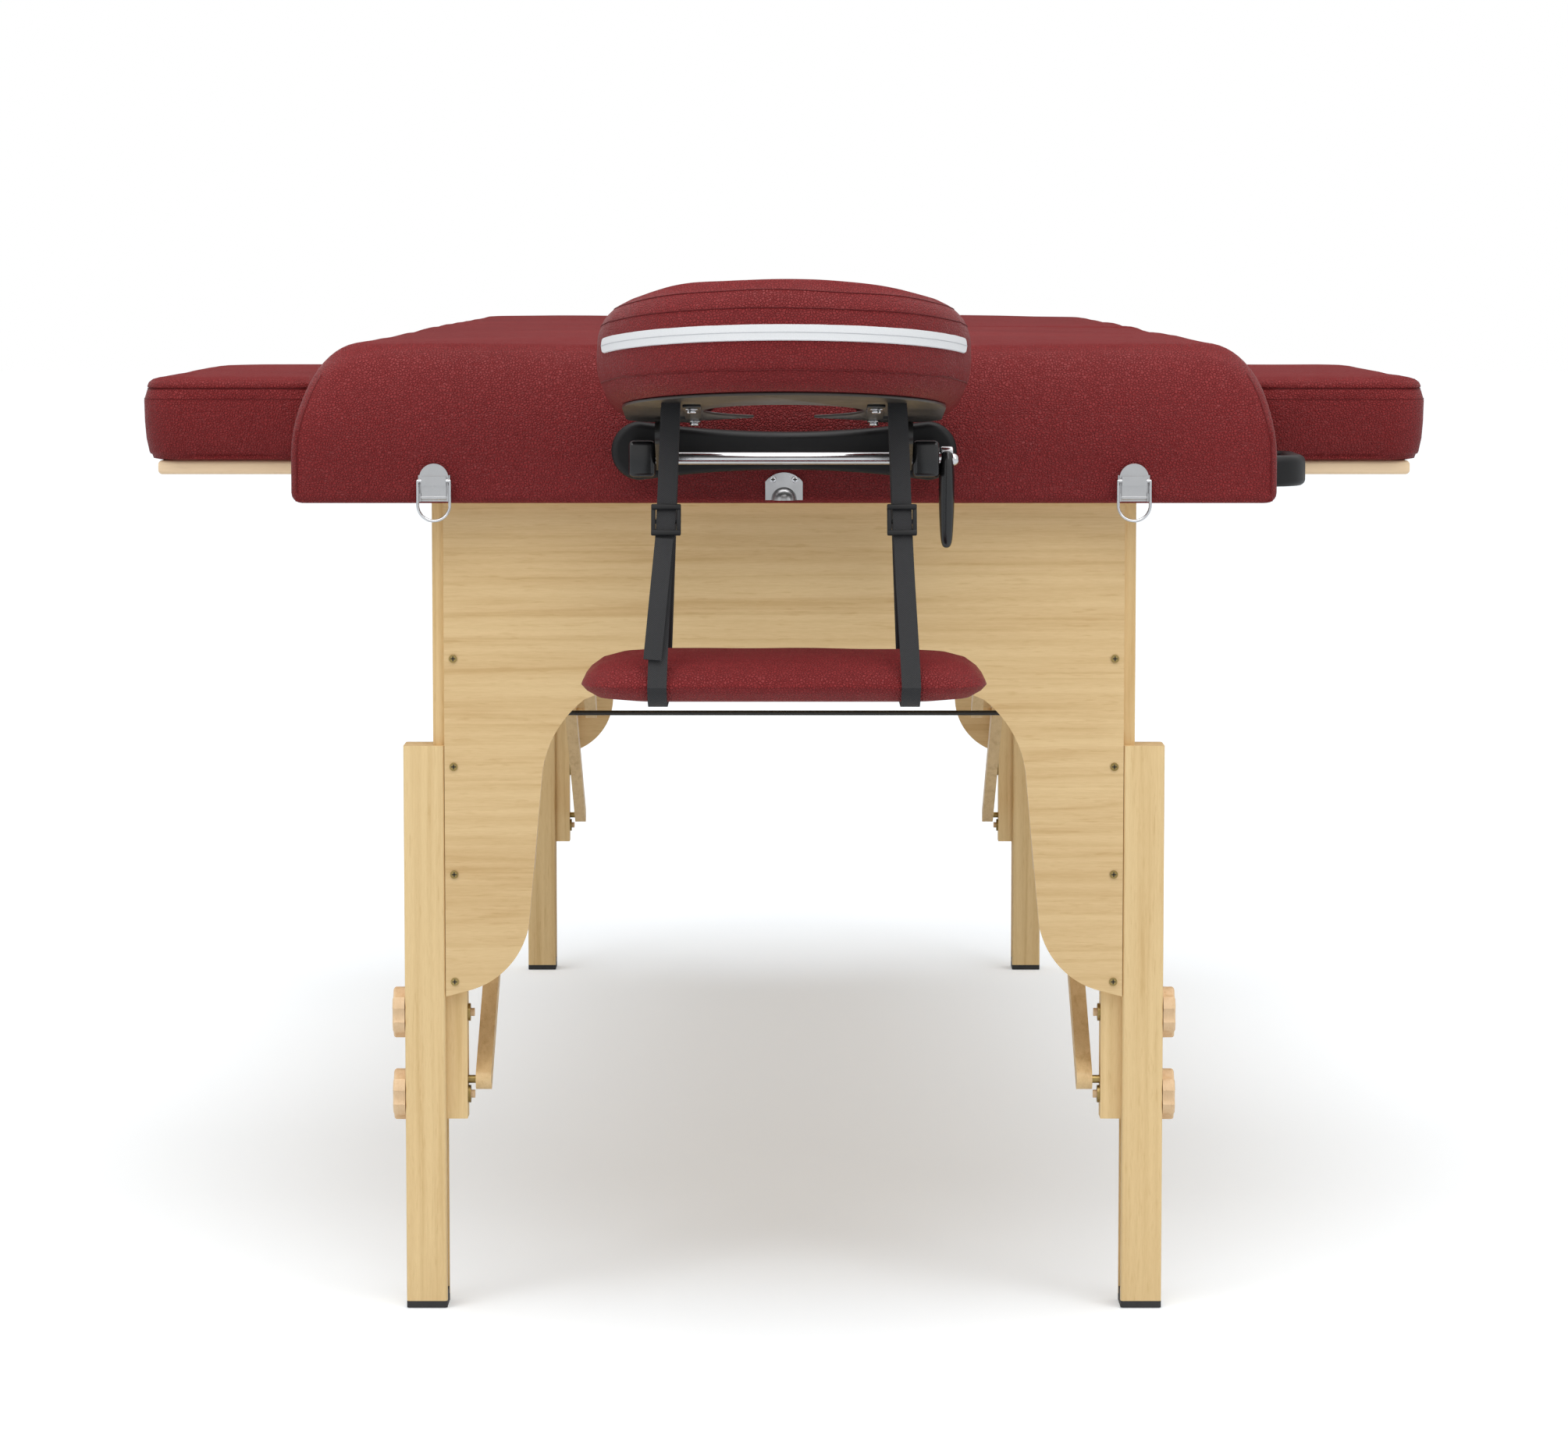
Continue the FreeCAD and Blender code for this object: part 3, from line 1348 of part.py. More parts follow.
# Closing latches
def build_latch(side):
    """Latch lever with its round finger tab, and the wire bail that hangs from it."""
    half = size("lever_body_width") / 2
    tab = size("lever_tab_radius")
    height = size("lever_body_height")
    face = outline(
        (-half, 0), (half, 0), (half, height), (tab, height), ((0, height + tab), (-tab, height)),
        (-half, height), (-half, 0)
    )
    middle = outboard(side, "latch_spread")
    at = (middle, "y_head - latch_plate_thick - latch_gap", "latch_pivot_height")
    plate = pad(f"{side}_lever_plate", "XZ_Plane", [face], "lever_body_thick", at)
    axis_y = "y_head - latch_lever_face + lever_body_thick / 2"
    bore = rod(f"{side}_lever_bore", "latch_pin_radius + bore_clearance", "lever_body_width",
               (f"{middle} - lever_body_width / 2", axis_y, "latch_pivot_height"), "x")
    hub = rod(f"{side}_lever_hub", "lever_body_thick / 2 + latch_gap / 2", "lever_body_width",
              (f"{middle} - lever_body_width / 2", axis_y, "latch_pivot_height"), "x")
    boss_x = f"{middle} - bail_half + bail_wire_radius"
    boss_y = "y_head - latch_lever_face - bail_wire_radius - bore_clearance"
    trunnion_length = "2 * bail_half - 2 * bail_wire_radius"
    lug_depth = "(2 * bail_wire_radius + 2 * bore_clearance + lug_wall)"
    lug = box(
        f"{side}_lever_lug", ("lever_body_width", lug_depth, "6 * bail_wire_radius"),
        (f"{middle} - lever_body_width / 2", f"y_head - latch_lever_face - {lug_depth}",
         "bail_pivot_height - 3 * bail_wire_radius"),
    )
    socket = rod(f"{side}_lever_socket", "bail_wire_radius + bore_clearance", "lever_body_width",
                 (f"{middle} - lever_body_width / 2", boss_y, "bail_pivot_height"), "x")
    blank = fuse(f"{side}_lever_blank", plate, hub, lug)
    finish(cut(f"{side}_lever_solid", blank, bore, socket), f"{side}_latch_lever")
    crossing = rod(f"{side}_bail_crossing", "bail_wire_radius", trunnion_length,
                   (boss_x, boss_y, "bail_pivot_height"), "x")
    leg_length = "bail_drop - bail_half"
    legs = [
        rod(f"{side}_bail_leg_{sign}", "bail_wire_radius", leg_length,
            (f"{middle} {sign} (bail_half - bail_wire_radius)", boss_y,
             f"bail_pivot_height - ({leg_length})"), "z")
        for sign in "+-"
    ]
    bow = doc.addObject("Part::Torus", f"{side}_bail_bow")
    bind(bow, "Radius1", "bail_half - bail_wire_radius")
    bind(bow, "Radius2", "bail_wire_radius")
    bow.Angle3 = 180
    bow.Placement.Rotation = FreeCAD.Rotation(V(1, 0, 0), -90)
    place(bow, (middle, boss_y, f"bail_pivot_height - ({leg_length})"))
    caps = []
    for sign in "+-":
        cap = doc.addObject("Part::Sphere", f"{side}_bail_corner_{sign}")
        bind(cap, "Radius", "bail_wire_radius")
        caps.append(place(cap,
                          (f"{middle} {sign} (bail_half - bail_wire_radius)", boss_y, "bail_pivot_height")))
    finish(fuse(f"{side}_bail_wire", crossing, bow, *legs, *caps), f"{side}_latch_bail")


def build():
    for end in ends:
        build_rails(end)
        build_deck(end)
        build_skirt(end)
        build_cushion(end)
        build_hardware(end)
        build_posts(end)
        build_panel(end)
        build_leg_hardware(end)
        build_struts(end)
        for side in sides:
            build_leg(end, side)
            for level in ("low", "high"):
                build_knob(end, side, level)
    build_fold_pins()
    build_handle()
    build_crossbar()
    build_cam_lever()
    build_links()
    build_platform()
    build_arm_shelf()
    build_straps()
    for side in sides:
        build_armrest(side)
        build_latch(side)


def check():
    for obj in doc.Objects:
        if "Invalid" in obj.State or "Error" in obj.State:
            raise RuntimeError(f"{obj.Name} failed: {obj.State}")
    for obj in parts:
        if obj.Shape.isNull() or not obj.Shape.isValid() or not obj.Shape.Solids:
            raise RuntimeError(f"{obj.Label} has no valid solid")


def write():
    os.makedirs("parts", exist_ok=True)
    for obj in parts:
        obj.Shape.exportStep(f"parts/{obj.Label}.step")
    print(len(parts), "nodes,", sum(len(obj.Shape.Solids) for obj in parts), "solids")


build()
doc.recompute()
check()
write()
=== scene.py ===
import math
import bpy
from mathutils import Matrix, Vector, noise


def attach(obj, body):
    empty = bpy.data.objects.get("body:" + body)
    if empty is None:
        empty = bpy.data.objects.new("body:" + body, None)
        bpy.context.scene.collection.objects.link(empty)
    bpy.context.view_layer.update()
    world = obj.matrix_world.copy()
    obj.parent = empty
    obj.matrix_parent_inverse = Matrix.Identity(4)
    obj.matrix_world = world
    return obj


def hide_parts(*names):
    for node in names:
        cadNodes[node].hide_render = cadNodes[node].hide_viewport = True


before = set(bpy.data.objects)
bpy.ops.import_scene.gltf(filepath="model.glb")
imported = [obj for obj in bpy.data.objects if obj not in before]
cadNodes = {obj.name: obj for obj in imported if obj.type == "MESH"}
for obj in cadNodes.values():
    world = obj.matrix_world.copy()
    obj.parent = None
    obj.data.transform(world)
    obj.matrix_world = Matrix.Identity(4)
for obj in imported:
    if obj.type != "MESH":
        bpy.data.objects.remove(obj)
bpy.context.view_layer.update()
scene = bpy.context.scene
headEnd = -0.78475  # end face of the table at the cradle
foldLine = 0.14225
footEnd = 1.06925
halves = (("head", headEnd, 1), ("foot", footEnd, -1))  # end face, and the way from it to the fold
print("frame loaded", len(cadNodes), "nodes")


def deselect():
    bpy.ops.object.select_all(action="DESELECT")


def settle():
    bpy.ops.object.transform_apply(location=True, rotation=True, scale=True)


# shader helpers
def startGroup(groupName, inputs):
    group = bpy.data.node_groups.new(groupName, "ShaderNodeTree")
    group.interface.new_socket("Vector", in_out="INPUT", socket_type="NodeSocketVector")
    for label, kind, value in inputs:
        socket = group.interface.new_socket(label, in_out="INPUT", socket_type="NodeSocket" + kind)
        socket.default_value = value
    for label, kind in (("Color", "Color"), ("Height", "Float"), ("Roughness", "Float")):
        group.interface.new_socket(label, in_out="OUTPUT", socket_type="NodeSocket" + kind)
    return group, group.nodes.new("NodeGroupInput").outputs


def endGroup(group, colour, height, roughness):
    groupOut = group.nodes.new("NodeGroupOutput")
    for label, source in (("Color", colour), ("Height", height), ("Roughness", roughness)):
        group.links.new(source, groupOut.inputs[label])


def addNode(tree, kind, **inputs):
    node = tree.nodes.new("ShaderNode" + kind)
    for label, value in inputs.items():
        node.inputs[label.replace("_", " ")].default_value = value
    return node


def textured(tree, kind, vector, **inputs):
    node = addNode(tree, kind, **inputs)
    tree.links.new(vector, node.inputs["Vector"])
    return node


def mathNode(tree, operation, first, second):
    node = addNode(tree, "Math")
    node.operation = operation
    for index, source in enumerate((first, second)):
        if hasattr(source, "is_linked"):
            tree.links.new(source, node.inputs[index])
        else:
            node.inputs[index].default_value = source
    return node.outputs[0]


def stretched(tree, source, amounts):
    node = addNode(tree, "VectorMath")
    node.operation = "MULTIPLY"
    tree.links.new(source, node.inputs[0])
    node.inputs[1].default_value = amounts
    return node.outputs[0]


def mixColours(tree, mask, first, second):
    node = addNode(tree, "Mix")
    node.data_type = "RGBA"
    tree.links.new(mask, node.inputs["Factor"])
    tree.links.new(first, node.inputs[6])  # the two colour sockets and their result
    tree.links.new(second, node.inputs[7])
    return node.outputs[2]


def mapRange(tree, source, low, high, toLow, toHigh):
    node = addNode(tree, "MapRange", From_Min=low, From_Max=high, To_Min=toLow, To_Max=toHigh)
    tree.links.new(source, node.inputs["Value"])
    return node.outputs["Result"]


# camera, light and floor
view = {"place": (0, headEnd - 3.6415, 0.7721), "tilt": 84.7488, "lens": 115.58, "sensor": 36}
bpy.ops.object.camera_add(location=view["place"], rotation=(math.radians(view["tilt"]), 0, 0))
camera = bpy.context.object
camera.data.lens = view["lens"]
camera.data.sensor_width = view["sensor"]
scene.camera = camera
scene.view_settings.view_transform = "Standard"

studio = {"sky": 0.42, "sun": 1.8, "sunSpread": 72, "sunLean": 14, "white": (1, 1, 1, 1),
          "floor": (0.785, 0.82, 0.85, 1), "floorGlow": 0.265, "floorRough": 0.9, "floorSize": 60,
          "floorDrop": 0.0005}
softboxes = {
    "leftBox": {"place": (-2.6, -3.4, 2.6), "aim": (0, -0.6, 0.6), "size": 1.6, "watts": 19},
    "rightBox": {"place": (2.6, -3.4, 2.6), "aim": (0, -0.6, 0.6), "size": 1.6, "watts": 19},
    "topBox": {"place": (0, -1.3, 3.2), "aim": (0, -0.75, 0.7), "size": 2.2, "watts": 26},
}
bpy.ops.object.light_add(type="SUN", rotation=(math.radians(studio["sunLean"]), 0, 0))
sun = bpy.context.object
sun.data.energy = studio["sun"]
sun.data.angle = math.radians(studio["sunSpread"])
for boxName, setup in softboxes.items():
    place = Vector(setup["place"])
    turn = (Vector(setup["aim"]) - place).to_track_quat("-Z", "Y").to_euler()
    bpy.ops.object.light_add(type="AREA", location=place, rotation=turn)
    lamp = bpy.context.object
    lamp.name = boxName
    lamp.data.shape = "SQUARE"
    lamp.data.size = setup["size"]
    lamp.data.energy = setup["watts"]

world = bpy.data.worlds.new("paleStudio")
scene.world = world
world.use_nodes = True
skyTree = world.node_tree
sky = skyTree.nodes["Background"]
sky.inputs["Color"].default_value = studio["white"]
skyPath = addNode(skyTree, "LightPath")
seen = mathNode(skyTree, "MAXIMUM", skyPath.outputs["Is Camera Ray"], skyPath.outputs["Is Glossy Ray"])
seen = mathNode(skyTree, "MAXIMUM", seen, skyPath.outputs["Is Transmission Ray"])
skyTree.links.new(mapRange(skyTree, seen, 0.0, 1.0, studio["sky"], 1.0), sky.inputs["Strength"])

deselect()
bpy.ops.mesh.primitive_plane_add(size=studio["floorSize"], location=(0, 0, -studio["floorDrop"]))
floor = bpy.context.object
floor.name = "studioFloor"
floorPaint = bpy.data.materials.new("paleFloor")
floorPaint.use_nodes = True
floorTree = floorPaint.node_tree
floorShader = floorTree.nodes["Principled BSDF"]
floorShader.inputs["Base Color"].default_value = studio["floor"]
floorShader.inputs["Roughness"].default_value = studio["floorRough"]
floorShader.inputs["Specular IOR Level"].default_value = 0.0
floorShader.inputs["Emission Color"].default_value = studio["white"]
floorPath = addNode(floorTree, "LightPath")
floorGlow = mathNode(floorTree, "MULTIPLY", floorPath.outputs["Is Camera Ray"], studio["floorGlow"])
floorTree.links.new(floorGlow, floorShader.inputs["Emission Strength"])
floor.data.materials.append(floorPaint)
print("studio ready")

# maple: soft bands, fine streaks and short flecks, grain runs along the vector's X
grainGroup, grainIn = startGroup("mapleGrain", [
    ("Pale", "Color", (0.7, 0.47, 0.2, 1)), ("Dark", "Color", (0.55, 0.33, 0.13, 1)), ("Lines", "Float", 26.0)])


def grainNoise(stretch, **inputs):
    vector = stretched(grainGroup, grainIn["Vector"], stretch)
    return textured(grainGroup, "TexNoise", vector, **inputs).outputs["Fac"]


bands = grainNoise((0.7, 17, 17), Scale=1.0, Detail=3.0, Roughness=0.55, Distortion=0.15)
streaks = grainNoise((1.1, 55, 55), Scale=3.0, Detail=4.0, Roughness=0.6)
fibres = grainNoise((6, 75, 75), Scale=20.0, Detail=4.0, Roughness=0.6)
flecks = grainNoise((5, 48, 48), Scale=11.0, Detail=2.0, Roughness=0.5)
growth = mathNode(grainGroup, "MULTIPLY", bands, grainIn["Lines"])
ripple = mathNode(grainGroup, "PINGPONG", growth, 1.0)
fleckMask = mapRange(grainGroup, flecks, 0.6, 0.74, 0.0, 0.3)
lineMask = mathNode(grainGroup, "MULTIPLY", mapRange(grainGroup, ripple, 0.0, 0.45, 1.0, 0.0),
                    mapRange(grainGroup, streaks, 0.4, 0.65, 0.0, 0.42))
streakMask = mapRange(grainGroup, streaks, 0.38, 0.72, 0.0, 0.4)
fibreMask = mapRange(grainGroup, fibres, 0.3, 0.75, 0.0, 0.26)
grainMask = mapRange(grainGroup, bands, 0.3, 0.72, 0.0, 0.34)
for mask in (lineMask, streakMask, fibreMask, fleckMask):
    grainMask = mathNode(grainGroup, "ADD", grainMask, mask)
endGroup(grainGroup, mixColours(grainGroup, grainMask, grainIn["Pale"], grainIn["Dark"]),
         mathNode(grainGroup, "SUBTRACT", fibres, fleckMask), mapRange(grainGroup, fibres, 0.3, 0.7, 0.42, 0.56))

# vinyl: pebbled leather print, faint creases, cloudy tone, painted shade darkening the pebble valleys, duller on the
# crown
vinylGroup, vinylIn = startGroup("vinylPrintAndValleyShade", [
    ("Tone", "Color", (0.232, 0.0225, 0.024, 1)), ("Deep", "Color", (0.17, 0.0155, 0.0165, 1)),
    ("Pebble", "Float", 500.0), ("Crown", "Float", 0.0)])
wobble = textured(vinylGroup, "TexNoise", vinylIn["Vector"], Scale=140.0, Detail=2.0)
bent = addNode(vinylGroup, "VectorMath")
bent.operation = "MULTIPLY_ADD"
vinylGroup.links.new(wobble.outputs["Color"], bent.inputs[0])
bent.inputs[1].default_value = (0.0016, 0.0016, 0.0016)
vinylGroup.links.new(vinylIn["Vector"], bent.inputs[2])
pebble = textured(vinylGroup, "TexVoronoi", bent.outputs[0], Randomness=1.0)
pebble.feature = "DISTANCE_TO_EDGE"
vinylGroup.links.new(vinylIn["Pebble"], pebble.inputs["Scale"])
valleys = mapRange(vinylGroup, pebble.outputs["Distance"], 0.0, 0.22, 0.0, 1.0)
crease = textured(vinylGroup, "TexNoise", vinylIn["Vector"], Scale=42.0, Detail=4.0, Roughness=0.6).outputs["Fac"]
cloud = textured(vinylGroup, "TexNoise", vinylIn["Vector"], Scale=5.0, Detail=2.0).outputs["Fac"]
# colour mask: random cloudy tone plus painted shade, the Deep colour where the pebble height is lowest
cloudAndValleyShadeMask = mathNode(vinylGroup, "ADD", mapRange(vinylGroup, cloud, 0.35, 0.7, 0.0, 0.5),
                     mapRange(vinylGroup, valleys, 0.0, 1.0, 0.45, 0.0))
leather = mapRange(vinylGroup, crease, 0.3, 0.7, 0.44, 0.56)
endGroup(vinylGroup, mixColours(vinylGroup, cloudAndValleyShadeMask, vinylIn["Tone"], vinylIn["Deep"]),
         mathNode(vinylGroup, "ADD", valleys, mathNode(vinylGroup, "MULTIPLY", crease, 0.9)),
         mathNode(vinylGroup, "ADD", leather, mathNode(vinylGroup, "MULTIPLY", vinylIn["Crown"], 0.4)))

# handled surfaces: smears and a fine moulded speckle
smearGroup, smearIn = startGroup("handledSmears", [
    ("Tone", "Color", (0.02, 0.02, 0.02, 1)), ("Worn", "Color", (0.03, 0.03, 0.03, 1)),
    ("Smooth", "Float", 0.2), ("Dull", "Float", 0.35)])
smear = textured(smearGroup, "TexNoise", smearIn["Vector"], Scale=24.0, Detail=4.0, Roughness=0.6, Distortion=0.8)
speckle = textured(smearGroup, "TexNoise", smearIn["Vector"], Scale=900.0, Detail=2.0)
smearMask = mapRange(smearGroup, smear.outputs["Fac"], 0.35, 0.7, 0.0, 1.0)
cleanMask = mathNode(smearGroup, "SUBTRACT", 1.0, smearMask)
smoothPart = mathNode(smearGroup, "MULTIPLY", cleanMask, smearIn["Smooth"])
dullPart = mathNode(smearGroup, "MULTIPLY", smearMask, smearIn["Dull"])
endGroup(smearGroup, mixColours(smearGroup, smearMask, smearIn["Tone"], smearIn["Worn"]),
         speckle.outputs["Fac"], mathNode(smearGroup, "ADD", smoothPart, dullPart))

# webbing: ribs across the strap and a crossed weave, raised threads painted lighter as a highlight
weaveGroup, weaveIn = startGroup("webbingWeaveAndHighlight", [
    ("Tone", "Color", (0.012, 0.012, 0.013, 1)), ("Lift", "Color", (0.035, 0.035, 0.037, 1)),
    ("Pitch", "Float", 900.0)])
weaveAxes = addNode(weaveGroup, "SeparateXYZ")
weaveGroup.links.new(weaveIn["Vector"], weaveAxes.inputs[0])


def weaveWave(axis, rate):
    pitch = mathNode(weaveGroup, "MULTIPLY", weaveIn["Pitch"], rate)
    return mathNode(weaveGroup, "SINE", mathNode(weaveGroup, "MULTIPLY", weaveAxes.outputs[axis], pitch), 0.0)


crossed = mathNode(weaveGroup, "MULTIPLY", weaveWave("X", 6.0), weaveWave("Z", 5.0))
weaveRiseHighlightMask = mapRange(weaveGroup, crossed, -1.0, 1.0, 0.0, 1.0)
# painted highlight: the raised threads of the weave get the lighter colour, the dips the darker one
endGroup(weaveGroup, mixColours(weaveGroup, weaveRiseHighlightMask, weaveIn["Tone"], weaveIn["Lift"]), weaveRiseHighlightMask,
         mapRange(weaveGroup, weaveRiseHighlightMask, 0.0, 1.0, 0.7, 0.55))


def makeFinish(finishName, group, values, bump, depth, turn=(0, 0, 0), **shader):
    material = bpy.data.materials.new(finishName)
    material.use_nodes = True
    tree = material.node_tree
    surface = tree.nodes["Principled BSDF"]
    for label, value in shader.items():
        surface.inputs[label.replace("_", " ")].default_value = value
    coords = addNode(tree, "TexCoord")
    mapping = addNode(tree, "Mapping")
    mapping.inputs["Rotation"].default_value = [math.radians(angle) for angle in turn]
    tree.links.new(coords.outputs["Object"], mapping.inputs["Vector"])
    surfacePrint = tree.nodes.new("ShaderNodeGroup")
    surfacePrint.node_tree = group
    for label, value in values.items():
        surfacePrint.inputs[label].default_value = value
    tree.links.new(mapping.outputs["Vector"], surfacePrint.inputs["Vector"])
    if "Crown" in surfacePrint.inputs:
        crown = addNode(tree, "Attribute")
        crown.attribute_name = "crown"
        tree.links.new(crown.outputs["Fac"], surfacePrint.inputs["Crown"])
    tree.links.new(surfacePrint.outputs["Color"], surface.inputs["Base Color"])
    tree.links.new(surfacePrint.outputs["Roughness"], surface.inputs["Roughness"])
    relief = addNode(tree, "Bump", Strength=bump, Distance=depth)
    tree.links.new(surfacePrint.outputs["Height"], relief.inputs["Height"])
    tree.links.new(relief.outputs["Normal"], surface.inputs["Normal"])
    return material


def maple(finishName, pale, dark, turn, lines=26.0):
    values = {"Pale": (*pale, 1), "Dark": (*dark, 1), "Lines": lines}
    return makeFinish(finishName, grainGroup, values, 0.25, 0.0004, turn,
                      Specular_IOR_Level=0.3, Coat_Weight=0.08, Coat_Roughness=0.35)


def sewn(finishName, tone, deep, bump, depth, pebble=500.0, **shader):
    values = {"Tone": (*tone, 1), "Deep": (*deep, 1), "Pebble": pebble}
    return makeFinish(finishName, vinylGroup, values, bump, depth, **shader)


def handled(finishName, tone, worn, smooth, dull, bump=0.12, **shader):
    values = {"Tone": (*tone, 1), "Worn": (*worn, 1), "Smooth": smooth, "Dull": dull}
    return makeFinish(finishName, smearGroup, values, bump, 0.0002, **shader)


finishes = {
    "panelMaple": maple("panelMaple", (0.81, 0.596, 0.314), (0.612, 0.4, 0.178), (0, 0, 0)),
    "legMaple": maple("legMaple", (0.86, 0.645, 0.34), (0.67, 0.455, 0.205), (0, 90, 0), 16.0),
    "strutMaple": maple("strutMaple", (0.82, 0.595, 0.315), (0.6, 0.39, 0.175), (0, 0, -90), 16.0),
    "railMaple": maple("railMaple", (0.74, 0.55, 0.3), (0.55, 0.37, 0.18), (0, 0, 0), 14.0),
    "knobMaple": maple("knobMaple", (0.84, 0.61, 0.375), (0.67, 0.44, 0.24), (0, 90, 0), 30.0),
    "boardMaple": maple("boardMaple", (0.92, 0.71, 0.47), (0.78, 0.57, 0.36), (0, 0, 0), 20.0),
    "deckPly": maple("deckPly", (0.6, 0.42, 0.22), (0.44, 0.28, 0.13), (0, 0, 90), 20.0),
    "vinyl": makeFinish("burgundyVinyl", vinylGroup, {}, 0.8, 0.001, Specular_IOR_Level=0.17),
    "bandVinyl": sewn("paleBand", (0.78, 0.79, 0.8), (0.7, 0.71, 0.72), 0.1, 0.0002, 900.0, Specular_IOR_Level=0.35),
    # seam lines are drawn darker than the cover: painted shade along the seams
    "shadeSeam": sewn("seamShadeLine", (0.13, 0.008, 0.009), (0.085, 0.005, 0.006), 0.3, 0.0003, Specular_IOR_Level=0.16),
    "paleSeam": sewn("paleSeam", (0.55, 0.56, 0.58), (0.45, 0.46, 0.48), 0.2, 0.0002),
    "rubber": handled("footRubber", (0.012, 0.012, 0.012), (0.03, 0.03, 0.03), 0.55, 0.75, 0.3),
    "plastic": handled("mouldedBlack", (0.009, 0.009, 0.0095), (0.014, 0.014, 0.0145), 0.36, 0.5, 0.15,
                       Specular_IOR_Level=0.2),
    "gloss": handled("glossBlack", (0.007, 0.007, 0.0075), (0.011, 0.011, 0.012), 0.18, 0.28, 0.05),
    "steel": handled("blackPaint", (0.012, 0.012, 0.012), (0.02, 0.019, 0.018), 0.26, 0.42, 0.1),
    "platform": handled("bronzePaint", (0.028, 0.024, 0.021), (0.05, 0.042, 0.035), 0.28, 0.42, 0.1),
    "webbing": makeFinish("blackWebbing", weaveGroup, {}, 0.5, 0.0004, Specular_IOR_Level=0.25),
    "chrome": handled("brightChrome", (0.62, 0.62, 0.63), (0.55, 0.55, 0.56), 0.1, 0.2, 0.02, Metallic=1.0),
    "satin": handled("satinNickel", (0.5, 0.5, 0.505), (0.44, 0.44, 0.445), 0.26, 0.38, 0.05, Metallic=1.0),
    "brass": handled("dullBrass", (0.36, 0.26, 0.1), (0.24, 0.17, 0.06), 0.3, 0.48, 0.1, Metallic=1.0),
    # screw cross slots: dark patches that paint the shade in the recesses
    "slot": handled("screwRecessShade", (0.03, 0.024, 0.014), (0.05, 0.04, 0.02), 0.5, 0.7),
}
nodeFinish = {
    "center_hinge_pins": "brass", "carry_handle": "plastic", "cradle_crossbar": "plastic", "cradle_rods": "chrome",
    "cradle_tie_rod": "chrome", "cradle_links": "steel", "platform_brackets": "steel",
}
for end in ("head", "foot"):
    for suffix, finish in (("rails", "railMaple"), ("deck", "deckPly"), ("hardware", "satin"),
                           ("leg_posts", "legMaple"), ("end_panel", "panelMaple"), ("leg_hardware", "brass"),
                           ("lower_struts", "strutMaple"), ("upper_struts", "strutMaple"), ("tie_bar", "steel")):
        nodeFinish[f"{end}_{suffix}"] = finish
    for side in ("left", "right"):
        nodeFinish[f"{end}_{side}_leg"] = "legMaple"
        nodeFinish[f"{end}_{side}_foot"] = "rubber"
        nodeFinish[f"{end}_{side}_low_knob"] = "knobMaple"
        nodeFinish[f"{end}_{side}_high_knob"] = "knobMaple"
for side in ("left", "right"):
    nodeFinish[f"{side}_armrest_board"] = "boardMaple"
    nodeFinish[f"{side}_latch_lever"] = "satin"
    nodeFinish[f"{side}_latch_bail"] = "chrome"
for nodeName, finish in nodeFinish.items():
    node = cadNodes[nodeName]
    if not node.material_slots:
        node.data.materials.append(finishes[finish])
    for slot in node.material_slots:
        slot.material = finishes[finish]
print("finishes on", len(nodeFinish), "nodes")


crownNormal = {"start": 0.8, "span": 0.17}  # upward part of the normal where the sat-on crown begins
arcSteps = 8  # in a quarter turn
unevenFade = 0.018
barRound = 0.32  # share of the smallest side
domeRound = 0.42


# modelling helpers
def useOnly(piece):
    deselect()
    piece.select_set(True)
    bpy.context.view_layer.objects.active = piece


def keepPiece(piece, body, finish, angle=40):
    useOnly(piece)
    settle()
    for modifier in list(piece.modifiers):
        bpy.ops.object.modifier_apply(modifier=modifier.name)
    bpy.ops.object.shade_smooth_by_angle(angle=math.radians(angle))
    if finish == "vinyl":  # sat-on tops are duller than the rounded shoulders
        crown = piece.data.attributes.new("crown", "FLOAT", "POINT")
        for vertex in piece.data.vertices:
            share = (vertex.normal.z - crownNormal["start"]) / crownNormal["span"]
            crown.data[vertex.index].value = min(1.0, max(0.0, share))
    piece.data.materials.clear()
    piece.data.materials.append(finishes[finish])
    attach(piece, body)
    return piece


def bevel(piece, width, segments):
    soft = piece.modifiers.new("soft", "BEVEL")
    soft.width = width
    soft.segments = segments
    bpy.ops.object.modifier_apply(modifier="soft")


def subdivide(piece):
    smooth = piece.modifiers.new("smooth", "SUBSURF")
    smooth.levels = smooth.render_levels = 1
    bpy.ops.object.modifier_apply(modifier="smooth")


def meshPiece(pieceName, points, faces):
    mesh = bpy.data.meshes.new(pieceName)
    mesh.from_pydata(points, [], faces)
    piece = bpy.data.objects.new(pieceName, mesh)
    scene.collection.objects.link(piece)
    useOnly(piece)
    bpy.ops.object.mode_set(mode="EDIT")
    bpy.ops.mesh.select_all(action="SELECT")
    bpy.ops.mesh.normals_make_consistent(inside=False)
    bpy.ops.object.mode_set(mode="OBJECT")
    return piece


